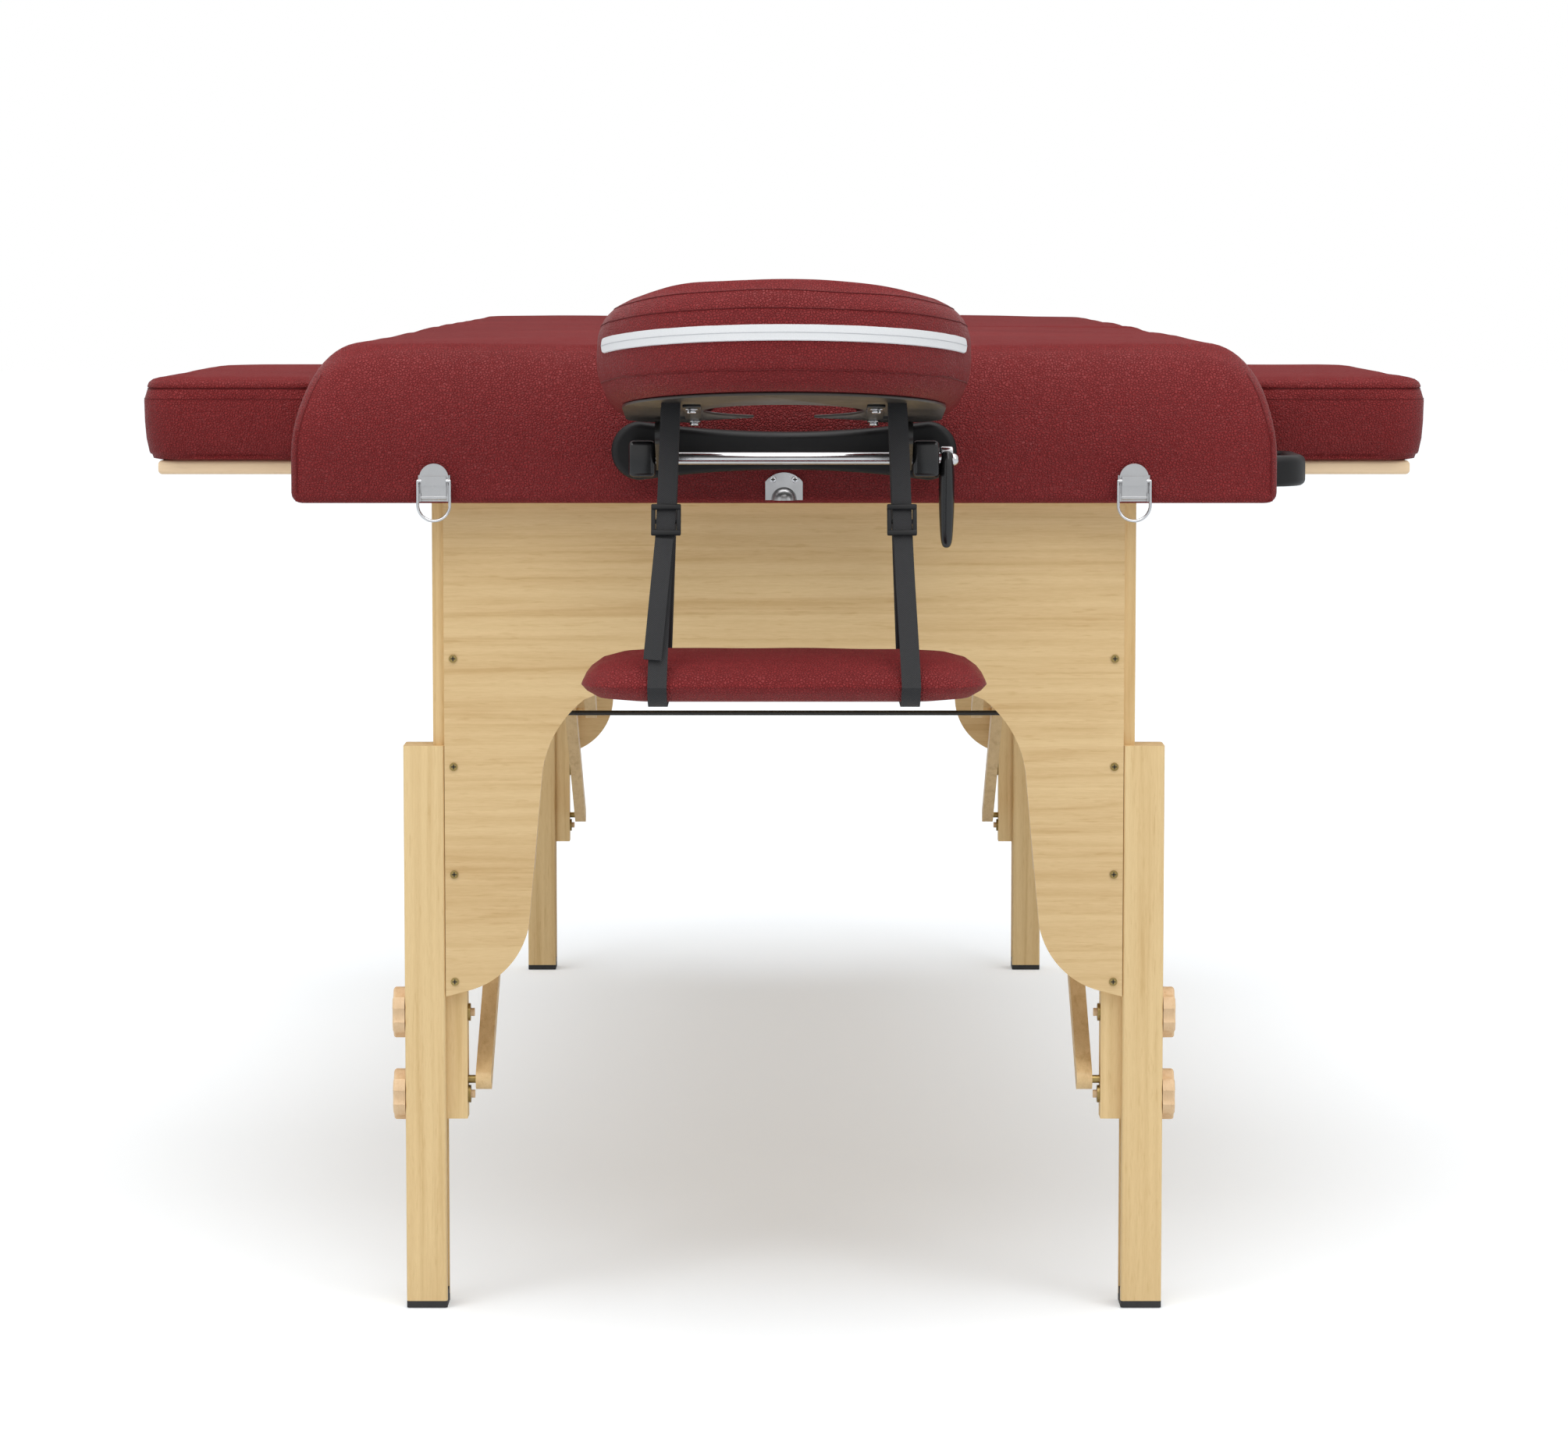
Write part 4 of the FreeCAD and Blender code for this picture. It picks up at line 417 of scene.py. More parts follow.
def rectRing(low, high, corners, steps, bow=0.0):
    # outline of a pad from above, corners as (front left, front right, back right, back left) radii
    (x0, y0), (x1, y1) = low, high
    arcs = []
    for (x, y, start), radius in zip(((x0, y0, 180), (x1, y0, 270), (x1, y1, 0), (x0, y1, 90)), corners):
        cx = x + (radius if start in (180, 90) else -radius)
        cy = y + (radius if start in (180, 270) else -radius)
        turns = [math.radians(start + 90 * step / arcSteps) for step in range(arcSteps + 1)]
        arcs.append([(cx + radius * math.cos(turn), cy + radius * math.sin(turn)) for turn in turns])
    ring = []
    for index, arc in enumerate(arcs):
        ring += arc
        following = arcs[(index + 1) % 4][0]
        count = steps[index % 2]
        for step in range(1, count):
            share = step / count
            x = arc[-1][0] + (following[0] - arc[-1][0]) * share
            y = arc[-1][1] + (following[1] - arc[-1][1]) * share
            pull = bow * 4 * share * (1 - share)
            x += pull * (0, -1, 0, 1)[index]
            y += pull * (1, 0, -1, 0)[index]
            ring.append((x, y))
    return ring


def stackRings(pieceName, rings, heights):
    points = []
    for ring, height in zip(rings, heights):
        points += [(x, y, height) for x, y in ring]
    count = len(rings[0])
    faces = [tuple(reversed(range(count)))]
    for level in range(len(rings) - 1):
        base = level * count
        for step in range(count):
            after = (step + 1) % count
            faces.append((base + step, base + after, base + count + after, base + count + step))
    last = (len(rings) - 1) * count
    faces.append(tuple(range(last, last + count)))
    return meshPiece(pieceName, points, faces)


def roughen(piece, amount, size, seed, keepBelow):
    # gentle hand-made unevenness of stuffed vinyl
    for vertex in piece.data.vertices:
        fade = min(1.0, max(0.0, (vertex.co.z - keepBelow) / unevenFade))
        spot = vertex.co * size + Vector((seed, seed * 2, seed * 3))
        vertex.co += vertex.normal * (noise.noise(spot) * amount * fade)


def tubeAlong(pieceName, route, radius, closed=False):
    curve = bpy.data.curves.new(pieceName, "CURVE")
    curve.dimensions = "3D"
    curve.bevel_depth = radius
    curve.bevel_resolution = 2
    curve.use_fill_caps = True
    spline = curve.splines.new("POLY")
    spline.points.add(len(route) - 1)
    for point, place in zip(spline.points, route):
        point.co = (*place, 1)
    spline.use_cyclic_u = closed
    piece = bpy.data.objects.new(pieceName, curve)
    scene.collection.objects.link(piece)
    useOnly(piece)
    bpy.ops.object.convert(target="MESH")
    return bpy.context.object


def onSurface(route, cover, lift):
    placed = []
    for spot in route:
        place, normal = cover.closest_point_on_mesh(Vector(spot))[1:3]
        placed.append(place + normal * lift)
    return placed


# table top: one vinyl cover over foam for each half, wrapped down and under the frame
topCover = {"half": 0.3572, "low": 0.5955, "wallMiddle": 0.615, "wallTop": 0.632, "top": 0.71, "shoulder": 0.044,
            "taper": 0.0015, "taperRise": 0.035, "foldRound": 0.009, "foldGap": 0.0005, "corner": 0.008,
            "cornerGrow": 0.75, "sideRound": 0.0075, "endRound": 0.005, "roll": (0, 0.06, 0.2, 0.4, 0.65, 1),
            "sideLining": 0.0035, "endLining": 0.0018, "liningCorner": 0.0005, "lip": 0.012, "lipTop": 0.5968,
            "lipLow": 0.5957, "deck": 0.6472, "shoulderSteps": 16, "crown": 0.003, "crownSteps": 8, "crownRim": 0.012,
            "crownFold": 0.3, "crownCorner": 0.042, "meshSteps": (56, 70), "uneven": 0.0017, "unevenSize": 7.5,
            "evenBelow": 0.66, "seeds": {"head": 3.1, "foot": 8.4}}
cornerSeam = {"low": 0.603, "tall": 0.085, "steps": 24, "back": 0.0048, "spread": 0.03, "spreadFrom": 0.64,
              "lift": -0.0001, "radius": 0.0007}


def roundedInset(radius, rise):
    left = max(0.0, radius - rise) / radius
    return radius * (1 - math.sqrt(1 - left * left))


def shoulderInset(height):
    rise = max(0.0, height - topCover["wallTop"])
    share = min(1.0, rise / (topCover["top"] - topCover["wallTop"]))
    rounding = topCover["shoulder"] * (1 - math.sqrt(1 - share * share))
    return rounding + topCover["taper"] * min(1, rise / topCover["taperRise"])


def makeTop(end, outer, sense):
    fold = foldLine - sense * topCover["foldGap"]
    rings, heights = [], []

    def addRing(height, sideInset, endInset, foldInset, corner, foldCorner=0.001):
        near = outer + sense * endInset
        far = fold - sense * foldInset
        radii = (corner, corner, foldCorner, foldCorner)[::sense]
        half = topCover["half"] - sideInset
        rings.append(rectRing((-half, min(near, far)), (half, max(near, far)), radii, topCover["meshSteps"]))
        heights.append(height)

    side, face, lip = topCover["sideLining"], topCover["endLining"], topCover["lip"]
    for height, tuck in (("deck", 0), ("lipTop", 0), ("lipTop", lip), ("lipLow", lip)):  # lining and wrapped lip
        addRing(topCover[height], side + tuck, face + tuck, face, topCover["liningCorner"])
    for share in topCover["roll"]:  # rolled lower edge
        rise = share * topCover["sideRound"]
        sideInset = roundedInset(topCover["sideRound"], rise)
        endInset = roundedInset(topCover["endRound"], rise)
        addRing(topCover["low"] + rise, sideInset, endInset, 0, max(0.002, topCover["corner"] - endInset))
    for height in (topCover["wallMiddle"], topCover["wallTop"]):
        addRing(height, 0, 0, 0, topCover["corner"])
    for step in range(1, topCover["shoulderSteps"] + 1):
        turn = math.radians(90 * step / topCover["shoulderSteps"])
        height = topCover["wallTop"] + (topCover["top"] - topCover["wallTop"]) * math.sin(turn)
        foldInset = roundedInset(topCover["foldRound"], topCover["top"] - height)
        inset = shoulderInset(height)
        corner = topCover["corner"] + inset * topCover["cornerGrow"]
        addRing(height, inset, inset, foldInset, corner, 0.001 + foldInset * 0.5)
    edge = topCover["shoulder"] + topCover["taper"]
    for step in range(1, topCover["crownSteps"] + 1):
        share = step / topCover["crownSteps"]
        inset = edge + (topCover["half"] - edge - topCover["crownRim"]) * share
        height = topCover["top"] + topCover["crown"] * math.sin(math.radians(90 * share))
        corner = topCover["crownCorner"] * (1 - share) + 0.002
        addRing(height, inset, inset, topCover["foldRound"] + topCover["crownFold"] * share, corner, 0.004)
    piece = stackRings(f"{end}Top", rings, heights)
    roughen(piece, topCover["uneven"], topCover["unevenSize"], topCover["seeds"][end], topCover["evenBelow"])
    return piece


for end, outer, sense in halves:
    top = makeTop(end, outer, sense)
    keepPiece(top, f"{end}_half", "vinyl", 60)
    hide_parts(f"{end}_cushion", f"{end}_skirt")
    for side, sign in (("Left", -1), ("Right", 1)):
        route = []
        for step in range(cornerSeam["steps"] + 1):
            height = cornerSeam["low"] + cornerSeam["tall"] * step / cornerSeam["steps"]
            inset = shoulderInset(height)
            radius = topCover["corner"] + inset * topCover["cornerGrow"]
            spread = cornerSeam["spread"] * max(0.0, height - cornerSeam["spreadFrom"])
            back = min(cornerSeam["back"] + spread, radius)
            reach = radius - math.sqrt(max(0.0, radius * radius - (radius - back) ** 2))
            route.append((sign * (topCover["half"] - inset - back), outer + sense * (inset + reach), height))
        route = onSurface(route, top, cornerSeam["lift"])
        shadeSeam = tubeAlong(f"{end}CornerSeam{side}", route, cornerSeam["radius"])
        keepPiece(shadeSeam, f"{end}_half", "shadeSeam")
    print(end, "top", len(top.data.polygons), "faces")

# armrest pads: crowned top panel sewn to a side band, tucked under onto the board
armPad = {"inner": 0.3583, "width": 0.1397, "start": headEnd + 0.258, "length": 0.48, "base": 0.6161, "corner": 0.026,
          "bow": 0.0025, "bowFrom": 0.004, "bowTo": 0.05, "edgeBow": 0.001, "meshSteps": (14, 34),
          "uneven": 0.0012, "unevenSize": 14, "evenBelow": 0.674, "seeds": {"left": 5.2, "right": 2.7},
          "seams": (("Welt", 0.003, 0.0553, 0.0006), ("LowerSeam", 0.0, 0.0478, 0.0004)),
          "profile": ((0.012, 0.0), (0.0066, 0.0012), (0.0055, 0.0043), (0.0044, 0.0047), (0.0036, 0.006),
                      (0.0014, 0.017), (0.0004, 0.03), (0.0, 0.0465), (0.0004, 0.0478), (0.0012, 0.0505),
                      (0.0022, 0.054), (0.0028, 0.0551), (0.0046, 0.0556), (0.0026, 0.0562), (0.0024, 0.0574),
                      (0.0036, 0.0602), (0.0066, 0.0625), (0.0115, 0.0639), (0.019, 0.0647), (0.03, 0.0651),
                      (0.046, 0.0654), (0.066, 0.0656))}
for side in ("left", "right"):
    x0, x1 = armPad["inner"], armPad["inner"] + armPad["width"]
    if side == "left":
        x0, x1 = -x1, -x0
    y0, y1 = armPad["start"], armPad["start"] + armPad["length"]

    def armRing(inset, corner, bow):
        low, high = (x0 + inset, y0 + inset), (x1 - inset, y1 - inset)
        return rectRing(low, high, (corner,) * 4, armPad["meshSteps"], bow)

    rings, heights = [], []
    for inset, height in armPad["profile"]:
        corner = max(0.003, armPad["corner"] - inset * 0.5)
        bowed = armPad["bowFrom"] < height < armPad["bowTo"]
        rings.append(armRing(inset, corner, armPad["bow" if bowed else "edgeBow"]))
        heights.append(armPad["base"] + height)
    pad = stackRings(f"{side}ArmPad", rings, heights)
    roughen(pad, armPad["uneven"], armPad["unevenSize"], armPad["seeds"][side], armPad["evenBelow"])
    keepPiece(pad, f"{side}_armrest", "vinyl", 60)
    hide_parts(f"{side}_armrest_pad")
    # the seams' dark colour is painted shade in the pad's seam grooves
    for label, inset, height, radius in armPad["seams"]:
        ring = armRing(inset, armPad["corner"] - inset, armPad["edgeBow"])
        route = onSurface([(x, y, armPad["base"] + height) for x, y in ring], pad, 0.0)
        shadeSeam = tubeAlong(f"{side}Arm{label}", route, radius, True)
        keepPiece(shadeSeam, f"{side}_armrest", "shadeSeam")
print("armrest pads")

# face cushion: horseshoe roll with a pale band round its front, leaned back with the platform
facePad = {"outer": 0.1305, "inner": 0.046, "bend": 0.165, "back": 0.04, "endRound": 0.022, "endShare": 0.55,
           "low": 0.6624, "tall": 0.0728, "topRound": 0.03, "lowRound": 0.02, "crown": 0.003, "sag": 0.001,
           "lean": -6.5, "pivotY": headEnd - 0.085, "pivotZ": 0.649, "voxel": 0.005, "swell": 0.003,
           "uneven": 0.0022, "unevenSize": 16, "evenBelow": 0.73, "seed": 6.6,
           "seams": (("Low", 0.0106, 84), ("Upper", 0.0547, 84), ("Top", 0.0668, 78)), "seamRadius": 0.0005,
           "seamReach": 0.003, "seamLift": 0.0001}
endSteps, armSteps, bendSteps = 6, 8, 36
leanPivot = Vector((0, facePad["pivotY"], facePad["pivotZ"]))
leanTurn = Matrix.Rotation(math.radians(facePad["lean"]), 3, "X")
backTurn = Matrix.Rotation(math.radians(-facePad["lean"]), 3, "X")


def leanBack(spot):
    return leanTurn @ (Vector(spot) - leanPivot) + leanPivot


def holdHeights(piece, lowest, highest):
    # flattens a leaned piece where it passes these heights, measured without the lean
    for vertex in piece.data.vertices:
        flat = backTurn @ (vertex.co - leanPivot) + leanPivot
        held = min(max(flat.z, lowest), highest)
        if held != flat.z:
            flat.z = held
            vertex.co = leanBack(flat)


def faceSection():
    half = (facePad["outer"] - facePad["inner"]) / 2
    tall = facePad["tall"]
    spots = []
    for cx, cz, radius, start in ((half, 0, facePad["lowRound"], 270), (half, tall, facePad["topRound"], 0),
                                  (-half, tall, facePad["topRound"], 90), (-half, 0, facePad["lowRound"], 180)):
        mx = cx - math.copysign(radius, cx)
        mz = cz + (radius if cz == 0 else -radius)
        for step in range(arcSteps + 1):
            turn = math.radians(start + 90 * step / arcSteps)
            spots.append((mx + radius * math.cos(turn), mz + radius * math.sin(turn)))
    return spots


section = faceSection()
middle = (facePad["outer"] + facePad["inner"]) / 2
stations = []
for step in range(endSteps + 1):  # rounded end nearest the table, then the straight arm
    turn = math.radians(90 * step / endSteps)
    y = headEnd - facePad["back"] - facePad["endRound"] * (1 - math.cos(turn))
    stations.append((middle, y, 0, facePad["endShare"] + (1 - facePad["endShare"]) * math.sin(turn)))
armStart = facePad["back"] + facePad["endRound"]
for step in range(1, armSteps + 1):
    stations.append((middle, headEnd - armStart - (facePad["bend"] - armStart) * step / armSteps, 0, 1.0))
for step in range(1, bendSteps):
    turn = math.radians(180 * step / bendSteps)
    stations.append((middle * math.cos(turn), headEnd - facePad["bend"] - middle * math.sin(turn), turn, 1.0))
oneArm = stations[:endSteps + 1 + armSteps]
stations += [(-x, y, math.pi - turn, share) for x, y, turn, share in reversed(oneArm)]
points, faces = [], []
for x, y, turn, share in stations:
    for across, height in section:
        reach = across * share
        upper = height - facePad["tall"] / 2
        lift = facePad["low"] + facePad["tall"] / 2 + upper * (0.6 + 0.4 * share)
        lift += (facePad["crown"] * math.sin(turn) ** 4 - facePad["sag"]) * max(0.0, upper * 2 / facePad["tall"])
        points.append(leanBack((x + reach * math.cos(turn), y - reach * math.sin(turn), lift)))
count = len(section)
for level in range(len(stations) - 1):
    for step in range(count):
        after = (step + 1) % count
        base = level * count
        faces.append((base + step, base + count + step, base + count + after, base + after))
faces.append(tuple(range(count)))
faces.append(tuple(reversed(range(len(points) - count, len(points)))))
facePiece = meshPiece("faceCushion", points, faces)
air = {"quality": 5, "mass": 0.3, "pressure": 4.0, "frames": 20}


def plump(piece, voxel, cap):
    # inflate the closed cover a little with cloth pressure, then hold every point near where it started
    useOnly(piece)
    remesh = piece.modifiers.new("remesh", "REMESH")
    remesh.mode = "VOXEL"
    remesh.voxel_size = voxel
    bpy.ops.object.modifier_apply(modifier="remesh")
    start = [vertex.co.copy() for vertex in piece.data.vertices]
    cloth = piece.modifiers.new("cloth", "CLOTH")
    cloth.settings.quality = air["quality"]
    cloth.settings.mass = air["mass"]
    cloth.settings.use_pressure = True
    cloth.settings.uniform_pressure_force = air["pressure"]
    cloth.settings.effector_weights.gravity = 0.0
    cloth.collision_settings.use_collision = False
    cloth.point_cache.frame_end = air["frames"]
    for step in range(1, air["frames"] + 1):
        scene.frame_set(step)
    swollen = piece.evaluated_get(bpy.context.evaluated_depsgraph_get())
    moved = [vertex.co.copy() for vertex in swollen.data.vertices]
    piece.modifiers.remove(cloth)
    scene.frame_set(1)
    for vertex, first, then in zip(piece.data.vertices, start, moved):
        shift = then - first
        vertex.co = first + shift.normalized() * min(shift.length, cap)
    subdivide(piece)


plump(facePiece, facePad["voxel"], facePad["swell"])
holdHeights(facePiece, facePad["low"], math.inf)  # flat where it lies on the plate
roughen(facePiece, facePad["uneven"], facePad["unevenSize"], facePad["seed"], facePad["evenBelow"])
keepPiece(facePiece, "cradle_platform", "vinyl", 60)
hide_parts("face_cushion")


def faceWall(angle, height, reach):
    turn = math.radians(angle)
    radius = facePad["outer"] + reach - roundedInset(facePad["topRound"], facePad["tall"] - height)
    y = headEnd - facePad["bend"] - radius * math.cos(turn)
    return leanBack((radius * math.sin(turn), y, facePad["low"] + height))


bandTrim = {"middle": 0.0374, "half": 0.0054, "spread": 74, "endRound": 2.4, "proud": 0.0009, "sunk": -0.0008,
            "rows": (-1, -0.9, 0, 0.9, 1), "reach": 0.004, "thick": 0.0008, "seamLift": 0.0013, "seamRadius": 0.0003}
bandAngles = [-74, -73.7, -73, -72] + list(range(-70, 71, 2)) + [72, 73, 73.7, 74]
bandRows = []
for share in bandTrim["rows"]:
    row = []
    for angle in bandAngles:
        past = max(0.0, (abs(angle) - bandTrim["spread"]) / bandTrim["endRound"] + 1)
        width = bandTrim["half"] * max(0.06, math.sqrt(max(0.0, 1 - past * past)))
        row.append(faceWall(angle, bandTrim["middle"] + share * width, bandTrim["reach"]))
    bandRows.append(onSurface(row, facePiece, bandTrim["sunk"] if abs(share) == 1 else bandTrim["proud"]))
bandPoints = [spot for row in bandRows for spot in row]
along = len(bandAngles)
bandFaces = []
for row in range(len(bandRows) - 1):
    for step in range(along - 1):
        base = row * along + step
        bandFaces.append((base, base + 1, base + along + 1, base + along))
band = meshPiece("paleBand", bandPoints, bandFaces)
thick = band.modifiers.new("thick", "SOLIDIFY")
thick.thickness = bandTrim["thick"]
thick.offset = 0
keepPiece(band, "cradle_platform", "bandVinyl", 60)
route = [faceWall(angle, bandTrim["middle"], bandTrim["reach"]) for angle in bandAngles]
bandSeam = tubeAlong("paleBandSeam", onSurface(route, facePiece, bandTrim["seamLift"]), bandTrim["seamRadius"])
keepPiece(bandSeam, "cradle_platform", "paleSeam")
for label, height, spread in facePad["seams"]:
    route = [faceWall(angle, height, facePad["seamReach"]) for angle in range(-spread, spread + 1, 2)]
    route = onSurface(route, facePiece, facePad["seamLift"])
    shadeSeam = tubeAlong(f"faceSeam{label}", route, facePad["seamRadius"])
    keepPiece(shadeSeam, "cradle_platform", "shadeSeam")
print("face cushion", len(facePiece.data.polygons), "faces")

# cradle plate: the solid's own outline, thinned from above to sheet thickness
plate = {"under": 0.66, "thick": 0.0021, "edge": 0.0006}
platePiece = bpy.data.objects.new("cradlePlate", cadNodes["cradle_platform"].data.copy())
scene.collection.objects.link(platePiece)
useOnly(platePiece)
bpy.ops.object.mode_set(mode="EDIT")
bpy.ops.mesh.select_all(action="SELECT")
bpy.ops.mesh.remove_doubles(threshold=0.00002)
bpy.ops.mesh.dissolve_limited(angle_limit=math.radians(1))
bpy.ops.object.mode_set(mode="OBJECT")
holdHeights(platePiece, 0.0, plate["under"] + plate["thick"])
bevel(platePiece, plate["edge"], 2)
keepPiece(platePiece, "cradle_platform", "platform", 40)
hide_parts("cradle_platform")
print("cradle plate")

# arm shelf: flat lens of a pad in two webbing loops
shelf = {"half": 0.138, "depth": 0.072, "middle": headEnd - 0.203, "low": 0.4722, "corner": 0.034,
         "meshSteps": (20, 10), "uneven": 0.0009, "unevenSize": 20, "evenBelow": 0.486, "seed": 1.9,
         "profile": ((0.052, 0.0), (0.03, 0.0008), (0.012, 0.0035), (0.004, 0.0085), (0.0006, 0.0125),
                     (0.0012, 0.0145), (0.005, 0.0195), (0.013, 0.0255), (0.026, 0.0295), (0.044, 0.0318),
                     (0.06, 0.0326))}
rings, heights = [], []
for inset, height in shelf["profile"]:
    low = (-shelf["half"] + inset, shelf["middle"] - shelf["depth"] + inset)
    high = (shelf["half"] - inset, shelf["middle"] + shelf["depth"] - inset)
    corner = max(0.004, shelf["corner"] - inset * 0.4)
    rings.append(rectRing(low, high, (corner,) * 4, shelf["meshSteps"]))
    heights.append(shelf["low"] + height)
shelfPiece = stackRings("shelfPad", rings, heights)
roughen(shelfPiece, shelf["uneven"], shelf["unevenSize"], shelf["seed"], shelf["evenBelow"])
keepPiece(shelfPiece, "arm_shelf", "vinyl", 60)
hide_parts("arm_shelf_pad")
print("arm shelf")

# webbing loops over the platform and under the shelf, and one free tail below the left buckle
strap = {"top": 0.0772, "low": 0.0852, "width": 0.013, "thick": 0.0014, "apex": 0.6706, "edge": 0.485,
         "under": 0.4706, "slack": 0.0012, "fold": 0.0038, "cornerRound": 0.028, "flat": 0.044, "sway": 0.00036,
         "swayTurns": 7, "steps": 24, "flatSteps": 4, "cornerShares": (0.2, 0.4, 0.6, 0.8),
         "foldShares": (0.25, 0.5, 0.75, 1.0)}
strapTail = {"start": 0.47, "long": 0.43, "inward": 0.004, "proud": 0.0022, "swing": 0.003, "swingTurns": 3,
             "narrow": 0.94, "steps": 11}
strapReach = shelf["depth"] + strap["slack"]


def ribbon(pieceName, route, width, thick):
    points, faces = [], []
    for index, (x, y, z) in enumerate(route):
        before = Vector(route[max(0, index - 1)])
        after = Vector(route[min(len(route) - 1, index + 1)])
        run = (after - before).normalized()
        face = Vector((1, 0, 0)).cross(run).normalized()
        edge = run.cross(face).normalized()
        for across, out in ((-1, -1), (-0.86, 1), (0.86, 1), (1, -1)):
            points.append(Vector((x, y, z)) + edge * (across * width / 2) + face * (out * thick / 2))
    for index in range(len(route) - 1):
        for step in range(4):
            after = (step + 1) % 4
            faces.append((index * 4 + step, index * 4 + after, index * 4 + 4 + after, index * 4 + 4 + step))
    faces.append((0, 1, 2, 3))
    last = len(points) - 4
    faces.append((last + 3, last + 2, last + 1, last))
    return meshPiece(pieceName, points, faces)


def strapRun(sign, sense, share):
    # sloping part from the platform to the shelf's edge, sense -1 in front and 1 behind
    return Vector((sign * (strap["top"] + (strap["low"] - strap["top"]) * share),
                   shelf["middle"] + sense * (strap["fold"] + (strapReach - strap["fold"]) * share),
                   strap["apex"] - (strap["apex"] - strap["edge"]) * share))


def strapCorner(sign, sense, share):
    turn = math.radians(90 * share)
    reach = strapReach - strap["cornerRound"] * (1 - math.cos(turn))
    height = strap["edge"] - (strap["edge"] - strap["under"]) * math.sin(turn)
    return (sign * strap["low"], shelf["middle"] + sense * reach, height)


for side, sign in (("left", -1), ("right", 1)):
    loop = []
    for step in range(strap["steps"] + 1):
        share = step / strap["steps"]
        sway = strap["sway"] * math.sin(share * strap["swayTurns"] + sign)
        loop.append(strapRun(sign, -1, share) + Vector((sway, 0, 0)))
    loop += [strapCorner(sign, -1, share) for share in strap["cornerShares"]]
    for step in range(-strap["flatSteps"], strap["flatSteps"] + 1):
        y = shelf["middle"] + strap["flat"] * step / strap["flatSteps"]
        loop.append((sign * strap["low"], y, strap["under"]))
    loop += [strapCorner(sign, 1, share) for share in reversed(strap["cornerShares"])]
    loop += [strapRun(sign, 1, 1 - step / strap["steps"]) for step in range(strap["steps"] + 1)]
    for share in strap["foldShares"]:
        turn = math.radians(180 * share)
        loop.append((sign * strap["top"], shelf["middle"] + strap["fold"] * math.cos(turn),
                     strap["apex"] + strap["fold"] * math.sin(turn)))
    web = ribbon(f"{side}Strap", loop, strap["width"], strap["thick"])
    keepPiece(web, "arm_shelf", "webbing", 30)
    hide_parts("arm_shelf_straps")
    if side == "left":
        tail = []
        for step in range(strapTail["steps"] + 1):
            share = step / strapTail["steps"]
            proud = strapTail["proud"] + strapTail["swing"] * math.sin(share * strapTail["swingTurns"])
            spot = strapRun(sign, -1, strapTail["start"] + strapTail["long"] * share)
            tail.append(spot - Vector((strapTail["inward"] * share, proud, 0)))
        tailPiece = ribbon(f"{side}StrapTail", tail, strap["width"] * strapTail["narrow"], strap["thick"])
        keepPiece(tailPiece, "arm_shelf", "webbing", 30)
print("straps")

# slide buckles: moulded frame with a bar the webbing turns over
buckle = {"wide": 0.0202, "tall": 0.0222, "bar": 0.003, "rail": 0.0038, "deep": 0.0034, "drop": 0.0755,
          "inward": 0.0006, "overlap": 0.002, "postFront": 0.001, "railFront": 0.0023, "barBehind": 0.0016}


def barPiece(size, place, rounding=None, steps=3):
    deselect()
    bpy.ops.mesh.primitive_cube_add(size=1, location=place)
    bar = bpy.context.object
    bar.scale = size
    settle()
    bevel(bar, rounding or min(size) * barRound, steps)
    return bar


def joinPieces(pieceName, parts):
    deselect()
    for part in parts:
        part.select_set(True)
    bpy.context.view_layer.objects.active = parts[0]
    bpy.ops.object.join()
    joined = bpy.context.object
    joined.name = pieceName
    joined.data.name = pieceName
    return joined


def turnPiece(piece, pivot, degrees):
    turn = Matrix.Rotation(math.radians(degrees), 4, "X")
    piece.data.transform(Matrix.Translation(pivot) @ turn @ Matrix.Translation(-pivot))


strapDrop = strap["apex"] - strap["edge"]
slope = math.degrees(math.atan2(shelf["depth"], strapDrop))
buckleParts = []
for sign in (-1, 1):
    spot = strapRun(sign, -1, buckle["drop"] / strapDrop) - Vector((sign * buckle["inward"], 0, 0))
    x, y, z = spot
    parts = []
    for shift in (-1, 1):
        parts.append(barPiece((buckle["bar"], buckle["deep"], buckle["tall"] - buckle["overlap"]),
                              (x + shift * (buckle["wide"] - buckle["bar"]) / 2, y - buckle["postFront"], z)))
        parts.append(barPiece((buckle["wide"], buckle["deep"] * 0.8, buckle["rail"]),
                              (x, y - buckle["railFront"], z + shift * (buckle["tall"] - buckle["rail"]) / 2)))
    parts.append(barPiece((buckle["wide"], buckle["deep"] * 0.7, buckle["bar"]), (x, y + buckle["barBehind"], z)))
    frameRing = joinPieces("buckleFrame", parts)
    turnPiece(frameRing, spot, -slope)
    buckleParts.append(frameRing)
bucklePiece = joinPieces("slideBuckles", buckleParts)
keepPiece(bucklePiece, "arm_shelf", "plastic", 35)
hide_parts("strap_buckles")
print("buckles")

# small fasteners: cross slots on the panel screws, keeper screws, strips and bolts under the platform; the cross
# slots are dark patches of painted shade for the screw recesses
fastener = {"screwX": 0.2417, "screwHeights": (0.243, 0.32233, 0.40167, 0.481), "panelFace": 0.0225, "head": 0.0008,
            "slotLong": 0.0036, "slotWide": 0.0009, "slotDeep": 0.0003}
keeper = {"x": 0.008, "z": 0.613, "face": 0.002, "radius": 0.0026, "tall": 0.0012, "slotFront": 0.0006,
          "slotLong": 0.003, "slotWide": 0.0008, "slotDeep": 0.0002}
strip = {"x": 0.0633, "wide": 0.0125, "long": 0.0965, "thick": 0.0019, "reach": 0.14775, "z": 0.65895}
bolt = {"reaches": (0.084, 0.186), "z": 0.6575, "washer": (0.0047, 0.0009), "head": (0.0034, 0.0026), "drop": 0.0016}


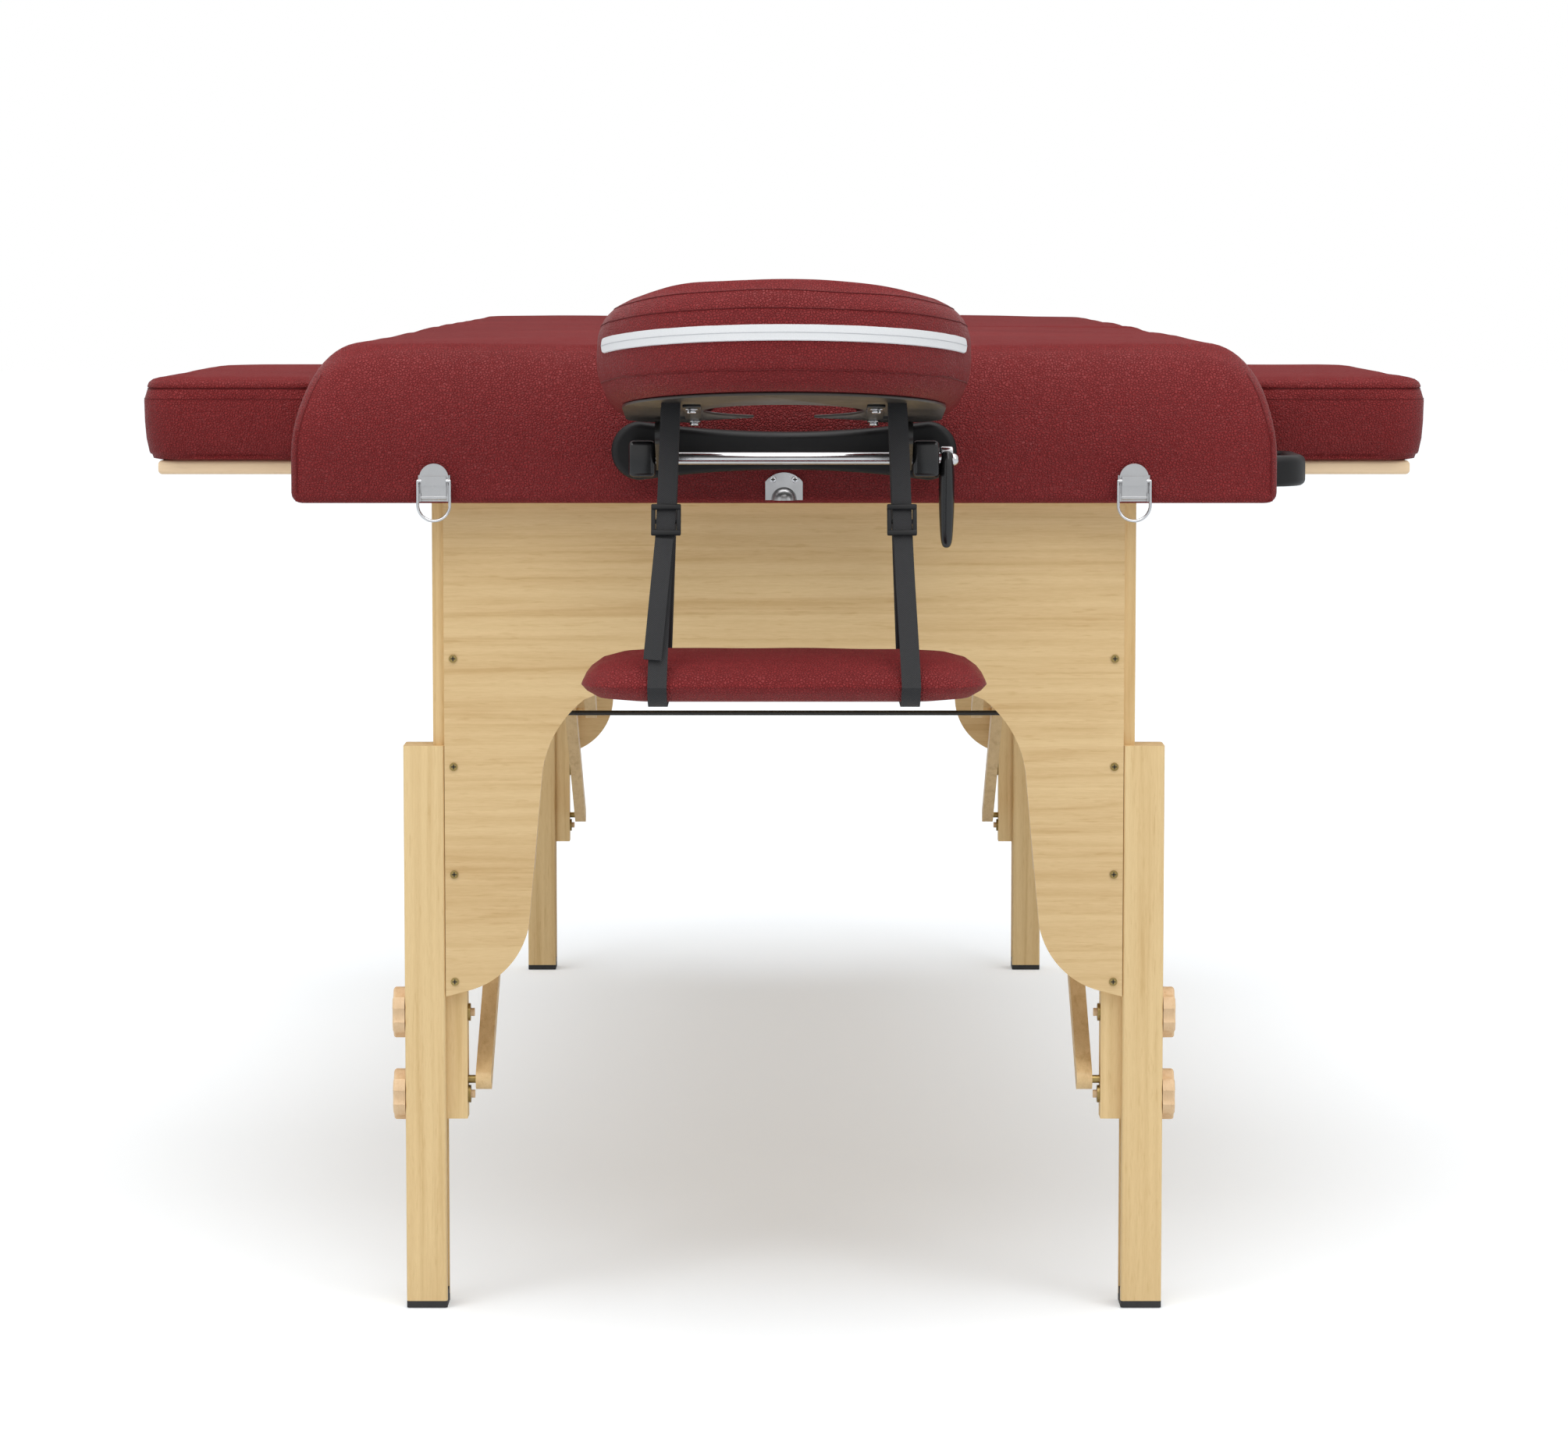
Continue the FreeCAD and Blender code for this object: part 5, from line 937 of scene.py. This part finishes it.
def crossSlot(place, long, wide, deep):
    bars = []
    for size in ((long, deep, wide), (wide, deep, long)):
        deselect()
        bpy.ops.mesh.primitive_cube_add(size=1, location=place)
        bars.append(bpy.context.object)
        bars[-1].scale = size
        settle()
    return joinPieces("crossSlot", bars)


def domeHead(place, radius, tall, axisTurn, sides=24):
    deselect()
    bpy.ops.mesh.primitive_cylinder_add(vertices=sides, radius=radius, depth=tall, location=place, rotation=axisTurn)
    head = bpy.context.object
    settle()
    bevel(head, min(tall, radius) * domeRound, 4)
    return head


for end, outer, sense in halves:
    slots = []
    y = outer + sense * (fastener["panelFace"] - fastener["head"])
    for sign in (-1, 1):
        for height in fastener["screwHeights"]:
            slots.append(crossSlot((sign * fastener["screwX"], y, height), fastener["slotLong"],
                                   fastener["slotWide"], fastener["slotDeep"]))
    keepPiece(joinPieces(f"{end}ScrewSlots", slots), f"{end}_legs", "slot")
keeperHeads, keeperSlots, bolts, strips = [], [], [], []
for sign in (-1, 1):
    x, y = sign * keeper["x"], headEnd - keeper["face"]
    keeperHeads.append(domeHead((x, y, keeper["z"]), keeper["radius"], keeper["tall"], (math.radians(90), 0, 0)))
    keeperSlots.append(crossSlot((x, y - keeper["slotFront"], keeper["z"]), keeper["slotLong"],
                                 keeper["slotWide"], keeper["slotDeep"]))
keepPiece(joinPieces("keeperScrews", keeperHeads), "head_half", "chrome")
keepPiece(joinPieces("keeperSlots", keeperSlots), "head_half", "slot")
for sign in (-1, 1):
    x = sign * strip["x"]
    bar = barPiece((strip["wide"], strip["long"], strip["thick"]), (x, headEnd - strip["reach"], strip["z"]))
    turnPiece(bar, leanPivot, facePad["lean"])
    strips.append(bar)
    for reach in bolt["reaches"]:
        spot = Vector((x, headEnd - reach, bolt["z"]))
        washer = domeHead(spot, *bolt["washer"], (0, 0, 0))
        head = domeHead(spot - Vector((0, 0, bolt["drop"])), *bolt["head"], (0, 0, 0), 12)
        pair = joinPieces("bolt", [washer, head])
        turnPiece(pair, leanPivot, facePad["lean"])
        bolts.append(pair)
keepPiece(joinPieces("bracketStrips", strips), "cradle_platform", "steel")
keepPiece(joinPieces("bracketBolts", bolts), "cradle_platform", "chrome")
print("fasteners")

# pivot blocks: the solids' own boxes with well rounded edges
blocks = {"round": 0.0034, "steps": 5}
blockSpots = [vertex.co for vertex in cadNodes["cradle_pivot_blocks"].data.vertices]
blockParts = []
for sign in (-1, 1):
    spots = [spot for spot in blockSpots if spot.x * sign > 0]
    low = Vector([min(spot[axis] for spot in spots) for axis in range(3)])
    high = Vector([max(spot[axis] for spot in spots) for axis in range(3)])
    blockParts.append(barPiece(high - low, (low + high) / 2, blocks["round"], blocks["steps"]))
blockPiece = joinPieces("pivotBlocks", blockParts)
keepPiece(blockPiece, "cradle_base", "gloss", 40)
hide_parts("cradle_pivot_blocks")
print("pivot blocks")

# clamping lever: drop-shaped handle, chrome barrel and ball
lever = {"place": (0.1161, headEnd - 0.047, 0.63), "sides": 24, "ball": 0.0046, "ballShift": (0.0045, 0, -0.0008),
         "barrel": (0.0034, 0.0094), "barrelShift": (0, 0, 0.0052),
         "handle": ((0.006, 0.0036, 0.005), (0.0025, 0.005, 0.0075), (-0.004, 0.0054, 0.0082),
                    (-0.016, 0.0058, 0.0078), (-0.032, 0.0057, 0.0068), (-0.046, 0.0051, 0.0056),
                    (-0.056, 0.0045, 0.0047), (-0.0608, 0.0038, 0.0038), (-0.0632, 0.0026, 0.0025),
                    (-0.064, 0.001, 0.001))}
centre = Vector(lever["place"])
deselect()
bpy.ops.mesh.primitive_circle_add(vertices=lever["sides"], radius=1, fill_type="NGON", location=centre)
handle = bpy.context.object
bpy.ops.object.mode_set(mode="EDIT")
bpy.ops.mesh.select_all(action="SELECT")
drop, wide, deep = lever["handle"][0]
bpy.ops.transform.resize(value=(wide, deep, 1), center_override=centre)
bpy.ops.transform.translate(value=(0, 0, drop))
for (drop0, wide0, deep0), (drop1, wide1, deep1) in zip(lever["handle"], lever["handle"][1:]):
    bpy.ops.mesh.extrude_region_move(TRANSFORM_OT_translate={"value": (0, 0, drop1 - drop0)})
    ringCentre = centre + Vector((0, 0, drop1))
    bpy.ops.transform.resize(value=(wide1 / wide0, deep1 / deep0, 1), center_override=ringCentre)
bpy.ops.mesh.select_all(action="SELECT")
bpy.ops.mesh.normals_make_consistent(inside=False)
bpy.ops.object.mode_set(mode="OBJECT")
subdivide(handle)
keepPiece(handle, "cam_lever", "gloss", 60)
handle.name = handle.data.name = "leverHandle"
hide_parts("cam_lever")
deselect()
bpy.ops.mesh.primitive_uv_sphere_add(segments=28, ring_count=16, radius=lever["ball"],
                                     location=centre + Vector(lever["ballShift"]))
capBall = bpy.context.object
settle()
barrel = domeHead(centre + Vector(lever["barrelShift"]), *lever["barrel"], (0, math.radians(90), 0))
keepPiece(joinPieces("leverCap", [capBall, barrel]), "cam_lever", "chrome")
print("clamping lever")
